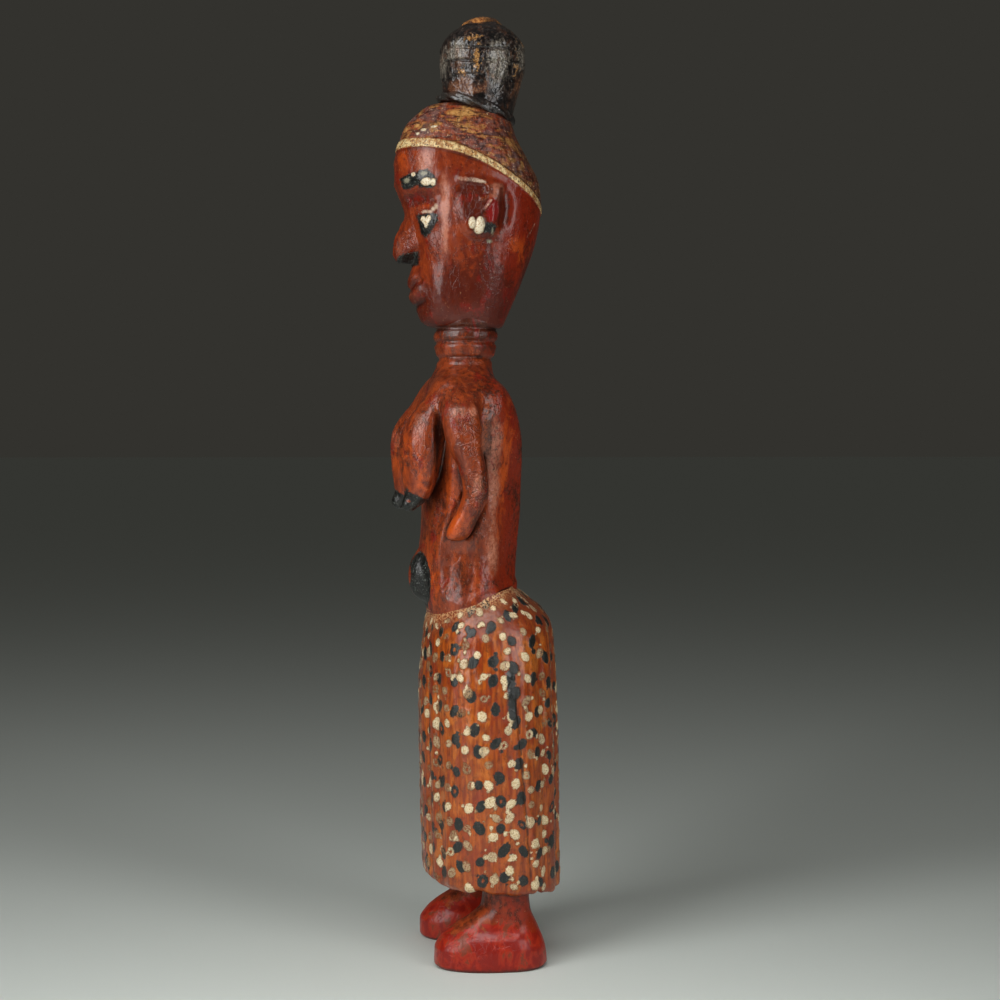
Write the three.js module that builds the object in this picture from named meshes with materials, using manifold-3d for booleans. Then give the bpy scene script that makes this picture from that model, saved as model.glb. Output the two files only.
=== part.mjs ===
// A standing female figure, carved from one log of wood and painted: a tall topknot with a small knob,
// a hair cap edged by a raised band, a long narrow face, a ringed neck, arms held to the sides,
// a wrapper skirt down to the ankles and two plain closed shoes. It is one solid, standing on its soles.
// Millimetres, +Z up. The face looks along -Y, and the figure's left side is at +X.
import * as THREE from "three";
import { mergeVertices } from "three/addons/utils/BufferGeometryUtils.js";
import Module from "manifold-3d";

const wasm = await Module();
wasm.setup();

// Heights of the stacked parts, from the ground up.
const hemHeight = 37;
const skirtLength = 140;
const torsoLength = 114;
const neckLength = 19;
const headLength = 111;
const bunLength = 39.5;
const knobHeight = 4.5;

// Widths, from side to side, and depths, from front to back, at the widest place.
const skirtWidth = 89;
const skirtDepth = 71;
const torsoWidth = 76;
const torsoDepth = 50;
const neckWidth = 31;
const headWidth = 55;
const headDepth = 74;
const bunWidth = 42;
const knobWidth = 23;
const breastWidth = 27;
const breastLength = 61;
const armWidth = 19;
const armThickness = 16;
const armLength = 74;
const shoulderSpan = 92;
const shoeLength = 56;
const shoeWidth = 35;
const shoeHeight = 23;
const ankleWidth = 24;
const footSpread = 54;

// Smaller carving.
const waistTilt = 12;
const hemDip = 4;
const foldDepth = 1.7;
const neckRings = 3;
const neckRingDepth = 1.3;
const bandThickness = 3.2;
const coilThickness = 4.4;
const noseLength = 29;
const noseWidth = 13.5;
const noseReach = 9;
const earHeight = 28;
const earWidth = 20;
const earReach = 5;
const socketWidth = 18;
const socketHeight = 10;
const eyeWidth = 12;
const eyeHeight = 11;
const mouthWidth = 12;
const lipHeight = 5;
const nippleWidth = 5.4;
const navelWidth = 18;
const navelHeight = 25;
const navelReach = 8;

// How far a part is sunk into the next one, so that the two are one piece.
const sink = 12;

// Levels that the parts share.
const hemLevel = hemHeight;
const waistLevel = hemLevel + skirtLength;
const collarLevel = waistLevel + torsoLength;
const jawLevel = collarLevel + neckLength;
const crownLevel = jawLevel + headLength;
const bunTopLevel = crownLevel + bunLength;

// Middles from front to back, as the body leans a little to and fro above the feet.
const skirtMiddle = 7;
const torsoMiddle = -3;
const neckMiddle = -4.5;
const headMiddle = -3;
const bunMiddle = 3.8;

const degrees = THREE.MathUtils.degToRad;
const bump = (distance, reach) => Math.exp(-((distance / reach) ** 2));

// A smooth line through [share, size] pairs that never overshoots between them.
function smoothLine(points) {
  const slope = (i) =>
    (points[i + 1][1] - points[i][1]) / (points[i + 1][0] - points[i][0]);
  const tangents = points.map((_, i) => {
    if (i === 0) return slope(0);
    if (i === points.length - 1) return slope(i - 1);
    const before = slope(i - 1);
    const after = slope(i);
    return before * after <= 0 ? 0 : (2 * before * after) / (before + after);
  });
  return (share) => {
    const last = points.length - 1;
    if (share <= points[0][0]) return points[0][1];
    if (share >= points[last][0]) return points[last][1];
    const i = points.findIndex((point) => point[0] > share) - 1;
    const span = points[i + 1][0] - points[i][0];
    const t = (share - points[i][0]) / span;
    return (
      points[i][1] * (1 + 2 * t) * (1 - t) ** 2 +
      points[i + 1][1] * (3 - 2 * t) * t ** 2 +
      tangents[i] * span * t * (1 - t) ** 2 +
      tangents[i + 1] * span * (t - 1) * t ** 2
    );
  };
}

// A point of an oval whose front and back halves have their own depths. turn is 0 at the front and a
// quarter turn at +X, and radius is 1 on the outline and 0 at the middle.
function ovalPoint(turn, radius, { side, front, back, middle = 0, corner = 2 }) {
  const sine = Math.sin(turn);
  const cosine = Math.cos(turn);
  const reach = 1 / (Math.abs(sine) ** corner + Math.abs(cosine) ** corner) ** (1 / corner);
  const depth = cosine > 0 ? middle - front : back - middle;
  return [radius * reach * sine * side, middle - radius * reach * cosine * depth];
}

// A closed post of stacked rings. place(turn, share, radius) gives each point of it, as [x, y, z].
function post(rings, sides, place) {
  const outline = [new THREE.Vector2(0, 0)];
  for (let i = 0; i <= rings; i++) outline.push(new THREE.Vector2(1, i / rings));
  outline.push(new THREE.Vector2(0, 1));
  const geometry = new THREE.LatheGeometry(outline, sides);
  const position = geometry.getAttribute("position");
  for (let i = 0; i < position.count; i++) {
    const radius = Math.hypot(position.getX(i), position.getZ(i));
    const turn = Math.atan2(position.getX(i), position.getZ(i));
    position.setXYZ(i, ...place(turn, position.getY(i), radius));
  }
  return solidOf(geometry);
}

// A closed ring of round section round a middle. along(turn) gives the point of its path at each turn.
function coil(thickness, sides, steps, middle, along) {
  const geometry = new THREE.TorusGeometry(1, 0.5, sides, steps);
  const position = geometry.getAttribute("position");
  for (let i = 0; i < position.count; i++) {
    const flat = Math.hypot(position.getX(i), position.getY(i));
    const turn = Math.atan2(position.getX(i), -position.getY(i));
    const [x, y, z] = along(turn);
    const outward = new THREE.Vector2(x, y - middle).normalize();
    position.setXYZ(
      i,
      x + outward.x * (flat - 1) * thickness,
      y + outward.y * (flat - 1) * thickness,
      z + position.getZ(i) * thickness,
    );
  }
  return solidOf(geometry);
}

// An egg-shaped lump with its three half-sizes, centred at a place.
function lump([x, y, z], [halfWidth, halfDepth, halfHeight], sides = 14, rings = 10) {
  const geometry = new THREE.SphereGeometry(1, sides, rings);
  geometry.rotateX(Math.PI / 2);
  geometry.scale(halfWidth, halfDepth, halfHeight);
  geometry.translate(x, y, z);
  return solidOf(geometry);
}

function solidOf(geometry) {
  geometry.deleteAttribute("normal");
  geometry.deleteAttribute("uv");
  const merged = mergeVertices(geometry, 1e-4);
  return new wasm.Manifold(
    new wasm.Mesh({
      numProp: 3,
      vertProperties: new Float32Array(merged.attributes.position.array),
      triVerts: new Uint32Array(merged.index.array),
    }),
  );
}

// The wrapper skirt. Its waist is higher and its hem lower at the back, and folds run down its sides.
const skirtOval = {
  front: smoothLine([
    [0, -0.33], [0.03, -0.36], [0.3, -0.38], [0.68, -0.39], [0.84, -0.365], [0.93, -0.33], [1, -0.29],
  ]),
  back: smoothLine([
    [0, 0.585], [0.3, 0.576], [0.62, 0.564], [0.8, 0.54], [0.9, 0.5], [0.96, 0.4], [1, 0.27],
  ]),
  side: smoothLine([
    [0, 0.48], [0.03, 0.49], [0.4, 0.5], [0.7, 0.49], [0.85, 0.455], [0.94, 0.39], [1, 0.31],
  ]),
};
const foldTurns = [20, 36, 129, 149].flatMap((turn) => [degrees(turn), degrees(-turn)]);
function skirt() {
  return post(10, 56, (turn, share, radius) => {
    const fold = foldTurns.reduce((sum, at) => sum + bump(turn - at, degrees(5)), 0);
    const fade = THREE.MathUtils.smoothstep(1 - share, 0.05, 0.3);
    const [x, y] = ovalPoint(turn, radius * (1 - (2 * foldDepth * fold * fade) / skirtDepth), {
      side: skirtOval.side(share) * skirtWidth,
      front: skirtOval.front(share) * skirtDepth,
      back: skirtOval.back(share) * skirtDepth,
      middle: skirtMiddle * (1 - share),
      corner: 2.3,
    });
    const backward = y / (0.6 * skirtDepth);
    const tilt = waistTilt * backward * share ** 3;
    const dip = hemDip * Math.max(0, backward) * (1 - share) ** 4;
    return [x, y, hemLevel + share * skirtLength + tilt - dip];
  });
}

// The bare torso, from inside the skirt to the foot of the neck.
const torsoOval = {
  front: smoothLine([
    [-0.2, -0.37], [0, -0.42], [0.1, -0.48], [0.19, -0.5], [0.28, -0.47], [0.38, -0.44], [0.55, -0.45],
    [0.7, -0.47], [0.82, -0.45], [0.9, -0.41], [0.95, -0.35], [1, -0.26],
  ]),
  back: smoothLine([
    [-0.2, 0.32], [0, 0.36], [0.15, 0.395], [0.28, 0.425], [0.41, 0.44], [0.54, 0.44], [0.63, 0.425],
    [0.76, 0.385], [0.85, 0.32], [0.9, 0.26], [0.95, 0.16], [1, 0.08],
  ]),
  side: smoothLine([
    [-0.2, 0.32], [0, 0.37], [0.14, 0.345], [0.28, 0.36], [0.42, 0.385], [0.55, 0.42], [0.7, 0.46],
    [0.8, 0.48], [0.87, 0.455], [0.93, 0.34], [1, 0.19],
  ]),
};
function torso() {
  const foot = -sink / torsoLength;
  return post(13, 30, (turn, share, radius) => {
    const at = foot + share * (1.03 - foot);
    const [x, y] = ovalPoint(turn, radius, {
      side: torsoOval.side(at) * torsoWidth,
      front: torsoOval.front(at) * torsoDepth + torsoMiddle,
      back: torsoOval.back(at) * torsoDepth,
      middle: torsoMiddle,
      corner: 2.4,
    });
    return [x, y, waistLevel + at * torsoLength];
  });
}

// A hanging breast and its nipple, on one side.
const breastOval = {
  front: smoothLine([
    [0, -0.63], [0.07, -0.68], [0.18, -0.71], [0.31, -0.735], [0.45, -0.75], [0.57, -0.745], [0.7, -0.68],
    [0.84, -0.55], [1, -0.4],
  ]),
  back: smoothLine([[0, -0.54], [0.12, -0.43], [0.3, -0.35], [0.6, -0.28], [1, -0.15]]),
  side: smoothLine([[0, 0.17], [0.08, 0.28], [0.25, 0.42], [0.5, 0.5], [0.75, 0.46], [1, 0.3]]),
};
const breastFoot = collarLevel - 0.07 * torsoLength - breastLength;
const breastGap = 0.27 * torsoWidth;
function breast(hand) {
  const body = post(8, 14, (turn, share, radius) => {
    const [x, y] = ovalPoint(turn, radius, {
      side: breastOval.side(share) * breastWidth,
      front: breastOval.front(share) * torsoDepth + torsoMiddle,
      back: breastOval.back(share) * torsoDepth + torsoMiddle,
      middle: (0.4 * breastOval.front(share) + 0.6 * breastOval.back(share)) * torsoDepth + torsoMiddle,
    });
    return [hand * breastGap + x, y, breastFoot + share * breastLength];
  });
  const nipple = lump(
    [hand * breastGap, breastOval.front(0) * torsoDepth + torsoMiddle, breastFoot],
    Array(3).fill(nippleWidth / 2),
    10,
    8,
  );
  return body.add(nipple);
}

// An arm carved against the side, its forearm bent a little forward and ending in a plain hand.
const armLine = {
  middle: smoothLine([
    [0, -0.75], [0.1, -0.6], [0.21, -0.4], [0.32, -0.28], [0.47, -0.38], [0.63, -0.57], [0.85, -0.67],
    [1, -0.62],
  ]),
  inset: smoothLine([
    [0, 1.08], [0.1, 0.95], [0.27, 0.74], [0.5, 0.57], [0.72, 0.51], [0.88, 0.58], [1, 1.05],
  ]),
  depth: smoothLine([
    [0, 0.23], [0.08, 0.31], [0.3, 0.3], [0.47, 0.32], [0.63, 0.41], [0.77, 0.48], [0.86, 0.5],
    [0.94, 0.42], [1, 0.18],
  ]),
  side: smoothLine([
    [0, 0.3], [0.08, 0.38], [0.27, 0.41], [0.5, 0.45], [0.72, 0.48], [0.86, 0.5], [0.94, 0.4],
    [1, 0.2],
  ]),
};
const armTop = collarLevel - 0.105 * torsoLength;
function arm(hand) {
  return post(9, 12, (turn, share, radius) => {
    const [x, y] = ovalPoint(turn, radius, {
      side: armLine.side(share) * armThickness,
      front: -armLine.depth(share) * armWidth,
      back: armLine.depth(share) * armWidth,
      corner: 2.2,
    });
    return [
      hand * (shoulderSpan / 2 - armLine.inset(share) * armThickness) + x,
      armLine.middle(share) * armWidth + y,
      armTop - (1 - share) * armLength,
    ];
  });
}

// The bulging navel, low on the belly.
function navel() {
  const level = waistLevel + 0.09 * torsoLength;
  const belly = torsoOval.front(0.09) * torsoDepth + torsoMiddle;
  return lump([0, belly + 0.12 * navelReach, level], [navelWidth / 2, navelReach, navelHeight / 2], 12, 8);
}

// The neck, with rounded rings one above another.
function neck() {
  const foot = collarLevel - sink / 2;
  const top = jawLevel + sink / 2;
  return post(12, 20, (turn, share, radius) => {
    const level = foot + share * (top - foot);
    const ring = Math.abs(Math.sin((Math.PI * neckRings * (level - collarLevel)) / neckLength));
    const taper = 1 - 0.09 * (1 - share);
    const half = (neckWidth / 2) * taper - neckRingDepth * (1 - ring);
    const [x, y] = ovalPoint(turn, radius, { side: half, front: -half, back: half });
    return [x, neckMiddle + y, level];
  });
}

// The head, from the flat underside of the jaw to the crown, with the hair cap as its dome.
const headOval = {
  front: smoothLine([
    [0, -0.27], [0.04, -0.33], [0.1, -0.365], [0.2, -0.385], [0.35, -0.395], [0.5, -0.43], [0.57, -0.475],
    [0.61, -0.49], [0.66, -0.5], [0.75, -0.5], [0.84, -0.465], [0.9, -0.42], [0.95, -0.36], [0.98, -0.31],
    [1, -0.26],
  ]),
  back: smoothLine([
    [0, 0.21], [0.12, 0.285], [0.25, 0.365], [0.4, 0.445], [0.55, 0.485], [0.65, 0.47], [0.75, 0.395],
    [0.84, 0.32], [0.93, 0.27], [1, 0.18],
  ]),
  side: smoothLine([
    [0, 0.27], [0.05, 0.32], [0.15, 0.37], [0.3, 0.425], [0.45, 0.475], [0.6, 0.5], [0.75, 0.485],
    [0.85, 0.43], [0.94, 0.34], [1, 0.24],
  ]),
};
const headSize = (share) => ({
  side: headOval.side(share) * headWidth,
  front: headOval.front(share) * headDepth + headMiddle,
  back: headOval.back(share) * headDepth + headMiddle,
  middle: headMiddle,
  corner: 2.15,
});
function head() {
  return post(17, 30, (turn, share, radius) => {
    const [x, y] = ovalPoint(turn, radius, headSize(share));
    return [x, y, jawLevel + share * headLength];
  });
}

// The raised band round the hair cap, high over the brow and low behind.
function band() {
  return coil(bandThickness, 6, 32, headMiddle, (turn) => {
    const share = 0.7 + 0.142 * Math.cos(turn) - 0.037 * Math.cos(2 * turn);
    const [x, y] = ovalPoint(turn, 1, headSize(share));
    return [x, y, jawLevel + share * headLength];
  });
}

// The nose: a long wedge, sharp along its bridge and cut off flat below.
const noseLine = {
  reach: smoothLine([[0, 0.92], [0.1, 1], [0.3, 0.84], [0.6, 0.5], [0.85, 0.16], [1, 0]]),
  side: smoothLine([[0, 0.5], [0.15, 0.5], [0.35, 0.4], [0.65, 0.26], [1, 0.18]]),
};
function nose() {
  const foot = jawLevel + 0.297 * headLength;
  return post(6, 10, (turn, share, radius) => {
    const level = foot + share * noseLength;
    const face = headSize((level - jawLevel) / headLength).front;
    const [x, y] = ovalPoint(turn, radius, {
      side: noseLine.side(share) * noseWidth,
      front: face - noseLine.reach(share) * noseReach,
      back: face + noseReach,
      middle: face + noseReach / 4,
      corner: 1.5,
    });
    return [x, y, level];
  });
}

// Upper and lower lip, one above the other.
function lips() {
  return [0.157, 0.203].map((share) => {
    const level = jawLevel + share * headLength;
    return lump([0, headSize(share).front, level], [mouthWidth / 2, 0.54 * lipHeight, lipHeight / 2], 12, 6);
  });
}

// The hollow under each brow, to cut, and the bulging eye below it.
function eyePlace(hand, share, sunk) {
  const [x, y] = ovalPoint(hand * degrees(34), 1, headSize(share));
  return [x * (1 - sunk / headWidth), y + sunk, jawLevel + share * headLength];
}
function socket(hand) {
  const depth = socketHeight / 2;
  return lump(eyePlace(hand, 0.545, -depth / 2), [socketWidth / 2, depth, socketHeight / 2], 10, 6);
}
function eyeball(hand) {
  const depth = 0.38 * eyeWidth;
  return lump(eyePlace(hand, 0.44, 0.55 * depth), [eyeWidth / 2, depth, eyeHeight / 2], 10, 6);
}

// An ear: a raised oval, hollowed in its upper part.
const earShare = 0.51;
const earMiddle = -1;
function ear(hand) {
  const x = hand * headSize(earShare).side;
  const z = jawLevel + earShare * headLength;
  return lump([x, earMiddle, z], [earReach, earWidth / 2, earHeight / 2], 14, 10);
}
function earHollow(hand) {
  const x = hand * (headSize(earShare).side + earReach);
  const y = earMiddle - 0.12 * earWidth;
  const z = jawLevel + earShare * headLength + 0.14 * earHeight;
  return lump([x, y, z], [0.8 * earReach, 0.3 * earWidth, 0.26 * earHeight], 10, 6);
}

// The topknot, the coil wound round its foot and the knob on its top.
const bunOval = smoothLine([
  [0, 0.37], [0.3, 0.43], [0.46, 0.465], [0.62, 0.5], [0.77, 0.5], [0.85, 0.465], [0.93, 0.375],
  [1, 0.26],
]);
function bun() {
  const foot = crownLevel - sink;
  return post(10, 24, (turn, share, radius) => {
    const half = bunOval(share) * bunWidth;
    const [x, y] = ovalPoint(turn, radius, { side: half, front: -half, back: half });
    const middle = bunMiddle * Math.min(1, 0.2 + 1.4 * share);
    return [x, middle + y, foot + share * (bunTopLevel - foot)];
  });
}
function bunCoil() {
  const half = bunOval(0.28) * bunWidth - coilThickness / 4;
  return coil(coilThickness, 6, 24, 0, (turn) => [
    half * Math.sin(turn),
    -half * Math.cos(turn),
    crownLevel - coilThickness / 2 + 0.14 * bunLength * Math.cos(turn),
  ]);
}
function knob() {
  return post(3, 20, (turn, share, radius) => {
    const half = (knobWidth / 2) * (1 - 0.45 * share ** 2);
    const [x, y] = ovalPoint(turn, radius, { side: half, front: -half, back: half });
    return [x, bunMiddle + 1 + y, bunTopLevel - knobHeight * (0.6 - 1.6 * share)];
  });
}

// A closed shoe on a flat sole, and the ankle that rises from it into the skirt.
const shoeOval = {
  front: smoothLine([
    [0, -0.4], [0.08, -0.43], [0.38, -0.43], [0.6, -0.375], [0.8, -0.28], [1.03, -0.12], [1.25, -0.02],
    [1.5, 0],
  ]),
  back: smoothLine([[0, 0.52], [0.1, 0.55], [0.35, 0.54], [0.8, 0.47], [1.25, 0.4], [1.6, 0.39]]),
  side: smoothLine([[0, 0.46], [0.08, 0.5], [0.38, 0.5], [0.6, 0.46], [0.85, 0.38], [1.1, 0.34]]),
};
function foot(hand) {
  const top = (hemLevel + sink) / shoeHeight;
  return post(10, 18, (turn, share, radius) => {
    const at = share * top;
    const leg = THREE.MathUtils.smoothstep(at, 0.6, 1);
    const [x, y] = ovalPoint(turn, radius, {
      side: THREE.MathUtils.lerp(shoeOval.side(at) * shoeWidth, ankleWidth / 2, leg),
      front: shoeOval.front(at) * shoeLength,
      back: shoeOval.back(at) * shoeLength,
      middle: 0.2 * shoeLength,
      corner: 2.3,
    });
    return [(hand * footSpread) / 2 + x, y, at * shoeHeight];
  });
}

const pairOf = (make) => [make(-1), make(1)];
const carved = [
  torso(), neck(), head(), band(), nose(), bun(), bunCoil(), knob(), navel(),
  ...lips(), ...pairOf(breast), ...pairOf(arm), ...pairOf(ear), ...pairOf(foot),
].reduce((whole, piece) => whole.add(piece), skirt());
const hollows = [...pairOf(socket), ...pairOf(earHollow)];
const hollowed = hollows.reduce((whole, piece) => whole.subtract(piece), carved);
const finished = pairOf(eyeball).reduce((whole, piece) => whole.add(piece), hollowed);

const made = finished.getMesh();
const geometry = new THREE.BufferGeometry();
geometry.setAttribute("position", new THREE.BufferAttribute(made.vertProperties, 3));
geometry.setIndex(new THREE.BufferAttribute(made.triVerts, 1));
geometry.computeVertexNormals();
geometry.computeBoundingBox();

const paintedWood = new THREE.MeshStandardMaterial({ color: 0x9a4a22, roughness: 0.42, metalness: 0 });
const figure = new THREE.Mesh(geometry, paintedWood);
figure.name = "figure";
const middle = geometry.boundingBox.getCenter(new THREE.Vector3());
figure.position.set(-middle.x, -middle.y, -geometry.boundingBox.min.z);

const group = new THREE.Group();
group.add(figure);
export default group;
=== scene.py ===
import math
from itertools import product
from typing import Callable, NamedTuple

import bpy
import numpy as np
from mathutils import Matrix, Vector


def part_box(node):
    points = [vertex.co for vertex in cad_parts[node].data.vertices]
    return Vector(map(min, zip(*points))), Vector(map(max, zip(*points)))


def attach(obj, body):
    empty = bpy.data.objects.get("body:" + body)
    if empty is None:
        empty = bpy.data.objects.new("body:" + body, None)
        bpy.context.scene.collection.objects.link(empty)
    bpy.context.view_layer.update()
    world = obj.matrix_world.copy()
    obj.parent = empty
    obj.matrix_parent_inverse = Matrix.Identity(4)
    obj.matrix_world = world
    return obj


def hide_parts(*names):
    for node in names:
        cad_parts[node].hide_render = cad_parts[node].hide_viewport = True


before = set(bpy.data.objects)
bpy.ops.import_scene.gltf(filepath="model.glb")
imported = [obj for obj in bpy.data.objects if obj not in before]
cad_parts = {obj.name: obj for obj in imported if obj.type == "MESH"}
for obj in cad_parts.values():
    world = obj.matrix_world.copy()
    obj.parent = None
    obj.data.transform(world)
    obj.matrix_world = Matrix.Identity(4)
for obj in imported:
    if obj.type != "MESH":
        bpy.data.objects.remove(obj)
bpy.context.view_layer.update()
node_low, node_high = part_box("figure")

# The design is 465 mm tall and stands 0.31 mm in front of the frame's middle.
FIGURE_HEIGHT = 465.0
MM = (node_high.z - node_low.z) / FIGURE_HEIGHT
AXIS_SHIFT = 0.31

# Heights of the stacked parts, and their widths from side to side and depths from front to back.
HEM = 37.0
SKIRT_LENGTH = 140.0
TORSO_LENGTH = 114.0
NECK_LENGTH = 19.0
HEAD_LENGTH = 111.0
BUN_LENGTH = 39.5
KNOB_HEIGHT = 4.5
SKIRT_WIDTH = 89.0
SKIRT_DEPTH = 71.0
TORSO_WIDTH = 76.0
TORSO_DEPTH = 50.0
HEAD_WIDTH = 55.0
HEAD_DEPTH = 74.0
BUN_WIDTH = 42.0
KNOB_WIDTH = 17.0
BREAST_WIDTH = 27.0
BREAST_LENGTH = 61.0
ARM_WIDTH = 19.0
ARM_THICKNESS = 16.0
ARM_LENGTH = 74.0
SHOULDER_SPAN = 92.0
SHOE_LENGTH = 56.0
SHOE_WIDTH = 35.0
SHOE_HEIGHT = 23.0
ANKLE_WIDTH = 24.0
FOOT_SPREAD = 54.0
WAIST_TILT = 12.0
HEM_DIP = 4.0

# Levels that the parts share.
WAIST = HEM + SKIRT_LENGTH
COLLAR = WAIST + TORSO_LENGTH
JAW = COLLAR + NECK_LENGTH
CROWN = JAW + HEAD_LENGTH
BUN_TOP = CROWN + BUN_LENGTH

# Middles from front to back.
SKIRT_MIDDLE = 7.0
TORSO_MIDDLE = -3.0
HEAD_MIDDLE = -3.0
BUN_MIDDLE = 3.8

SEED = 7


# Tools for lines, noise and distances


def smooth_line(*points):
    """A smooth line through (share, size) pairs that never overshoots between them."""
    at, size = np.array(points, float).T
    slope = np.diff(size) / np.diff(at)
    before, after = slope[:-1], slope[1:]
    same = before * after > 0
    inner = np.where(same, 2 * before * after / np.where(same, before + after, 1), 0)
    tangent = np.concatenate([slope[:1], inner, slope[-1:]])

    def line(share):
        share = np.clip(share, at[0], at[-1])
        i = np.clip(np.searchsorted(at, share, side="right") - 1, 0, len(at) - 2)
        span = at[i + 1] - at[i]
        t = (share - at[i]) / span
        start = size[i] * (1 + 2 * t) * (1 - t) ** 2 + tangent[i] * span * t * (1 - t) ** 2
        end = size[i + 1] * (3 - 2 * t) * t**2 + tangent[i + 1] * span * (t - 1) * t**2
        return start + end

    return line


def profile(**lines):
    """Sizes of a form by its height. Each line is a full size, then (share of height, part of size) pairs."""
    made = {name: (full, smooth_line(*points)) for name, (full, *points) in lines.items()}
    return lambda share: {name: line(share) * full for name, (full, line) in made.items()}


def smooth_step(value, low, high):
    """0 below low, 1 above high, and a soft rise between them."""
    t = np.clip((value - low) / (high - low), 0, 1)
    return t * t * (3 - 2 * t)


def between(value, low, high, soft):
    """1 from low to high, and a soft fall outside them."""
    return smooth_step(value, low - soft, low + soft) * (1 - smooth_step(value, high - soft, high + soft))


def bump(distance, reach):
    """1 at no distance, fading to nothing past about two reaches."""
    return np.exp(-((distance / reach) ** 2))


def dish(a, b, middle, reaches):
    """A bump in two directions at once."""
    return bump(a - middle[0], reaches[0]) * bump(b - middle[1], reaches[1])


def join(a, b, soft=0.0):
    """The union of two solids, with a fillet of about soft millimetres."""
    soft = np.maximum(soft, 1e-6)
    blend = np.maximum(soft - np.abs(a - b), 0) / soft
    return np.minimum(a, b) - blend * blend * soft / 4


def within(a, b, soft=0.0):
    """What two solids share, with its edge rounded by about soft millimetres."""
    return -join(-a, -b, soft)


def oval(x, y, side, front, back, middle=0.0, corner=2.0):
    """Distance outside an upright oval, measured along the line to its middle."""
    wide = np.abs(x) + 1e-3
    deep = y - middle
    depth = np.where(deep < 0, middle - front, back - middle)
    reach = ((wide / side) ** corner + (np.abs(deep) / depth) ** corner) ** (1 / corner)
    radius = np.hypot(wide, deep)
    return radius - radius / reach


def lump(x, y, z, middle, half):
    """Distance outside an egg with three half-sizes."""
    parts = [(v - m) / h for v, m, h in zip((x, y, z), middle, half)]
    near = np.sqrt(sum(p * p for p in parts)) + 1e-6
    steep = np.sqrt(sum((p / h) ** 2 for p, h in zip(parts, half))) + 1e-6
    return near * (near - 1) / steep


def plane(across, deep, turn, reach):
    """Distance past an upright plane whose face looks turn degrees from +X towards +Y."""
    return across * math.cos(math.radians(turn)) + deep * math.sin(math.radians(turn)) - reach


def path_distance(x, y, z, points):
    """Distance to a line drawn through the points."""
    best = np.inf
    for start, end in zip(points[:-1], points[1:]):
        along = [b - a for a, b in zip(start, end)]
        away = [v - a for v, a in zip((x, y, z), start)]
        share = sum(d * p for d, p in zip(along, away)) / sum(d * d for d in along)
        share = np.clip(share, 0, 1)
        gap = np.sqrt(sum((p - share * d) ** 2 for d, p in zip(along, away)))
        best = np.minimum(best, gap)
    return best


def carve(x, y, z, cuts):
    """Depth of some cuts, alike on both sides. Each is a path, a depth (a ridge below zero) and a reach."""
    return sum(depth * bump(path_distance(np.abs(x), y, z, path), reach) for path, depth, reach in cuts)


class Noise:
    """Smooth noise from -1 to 1 in space, from a seeded lattice that repeats every 32 lumps."""

    SIDE = 32

    def __init__(self, seed):
        self.lattice = np.random.default_rng(seed).uniform(-1, 1, self.SIDE**3)

    def __call__(self, x, y, z, sizes):
        """sizes are the lumps' three sizes."""
        low, part = [], []
        for v, s in zip((x, y, z), sizes):
            scaled = np.asarray(v, float) / s + 100
            floor = np.floor(scaled)
            low.append(floor.astype(np.int64))
            rest = scaled - floor
            part.append(rest * rest * (3 - 2 * rest))
        total = 0.0
        for corner in product((0, 1), repeat=3):
            weight, place = 1.0, 0
            for first, share, step in zip(low, part, corner):
                weight = weight * (share if step else 1 - share)
                place = place * self.SIDE + (first + step) % self.SIDE
            total = total + weight * self.lattice[place]
        return total


broad_noise = Noise(SEED)
fine_noise = Noise(SEED + 1)


# The skirt


SKIRT_LINES = profile(
    side=(
        SKIRT_WIDTH, (0, 0.48), (0.03, 0.49), (0.4, 0.5), (0.7, 0.49), (0.85, 0.455), (0.94, 0.39),
        (1, 0.31),
    ),
    front=(
        SKIRT_DEPTH, (0, -0.33), (0.03, -0.36), (0.3, -0.38), (0.68, -0.39), (0.84, -0.37), (0.94, -0.35),
        (1, -0.325),
    ),
    back=(
        SKIRT_DEPTH, (0, 0.585), (0.3, 0.576), (0.62, 0.564), (0.8, 0.547), (0.85, 0.53), (0.9, 0.47),
        (0.96, 0.34), (1, 0.25),
    ),
)
SKIRT_CORNER = 2.3
# Hollow folds down the cloth, at turns in degrees from the front. Their reach is in degrees too.
FOLD_TURNS = (20, 36, 129, 149)
FOLD_DEPTH = 1.7
FOLD_REACH = 5.0
# The cloth's open edge leans back from its turn at the waist. A degree there is 0.73 mm.
PLEAT_TURN = 103.0
PLEAT_LEAN = 11.0
PLEAT_DEGREE = 0.73
PLEAT_DEPTH = 0.8
PLEAT_REACH = 0.7
FLUTES = 48
FLUTE_DEPTH = 0.10
# The hem's two waves, as height and count, and the notches in it, as height, turn and reach in degrees.
HEM_WAVES = ((0.5, 7), (0.35, 17))
HEM_NOTCHES = ((2.6, 122, 3.5), (1.0, 70, 8))
WAIST_CORD = 1.1


def waist_back(y):
    """How far back a place on the skirt is, as a share of the depth over which the waist tilts."""
    return y / (0.6 * SKIRT_DEPTH)


def skirt_shift(y, up):
    """How much higher than level the skirt lies. Its waist is higher and its hem lower at the back."""
    back = waist_back(y)
    return WAIST_TILT * back * up**3 - HEM_DIP * np.maximum(back, 0) * (1 - up) ** 4


def skirt_share(y, z):
    """How far up the skirt a point lies."""
    share = (z - HEM) / SKIRT_LENGTH
    for _ in range(2):
        share = (z - HEM - skirt_shift(y, np.clip(share, 0, 1))) / SKIRT_LENGTH
    return share


def skirt_sizes(share):
    return {**SKIRT_LINES(share), "middle": SKIRT_MIDDLE * (1 - np.clip(share, 0, 1))}


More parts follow.
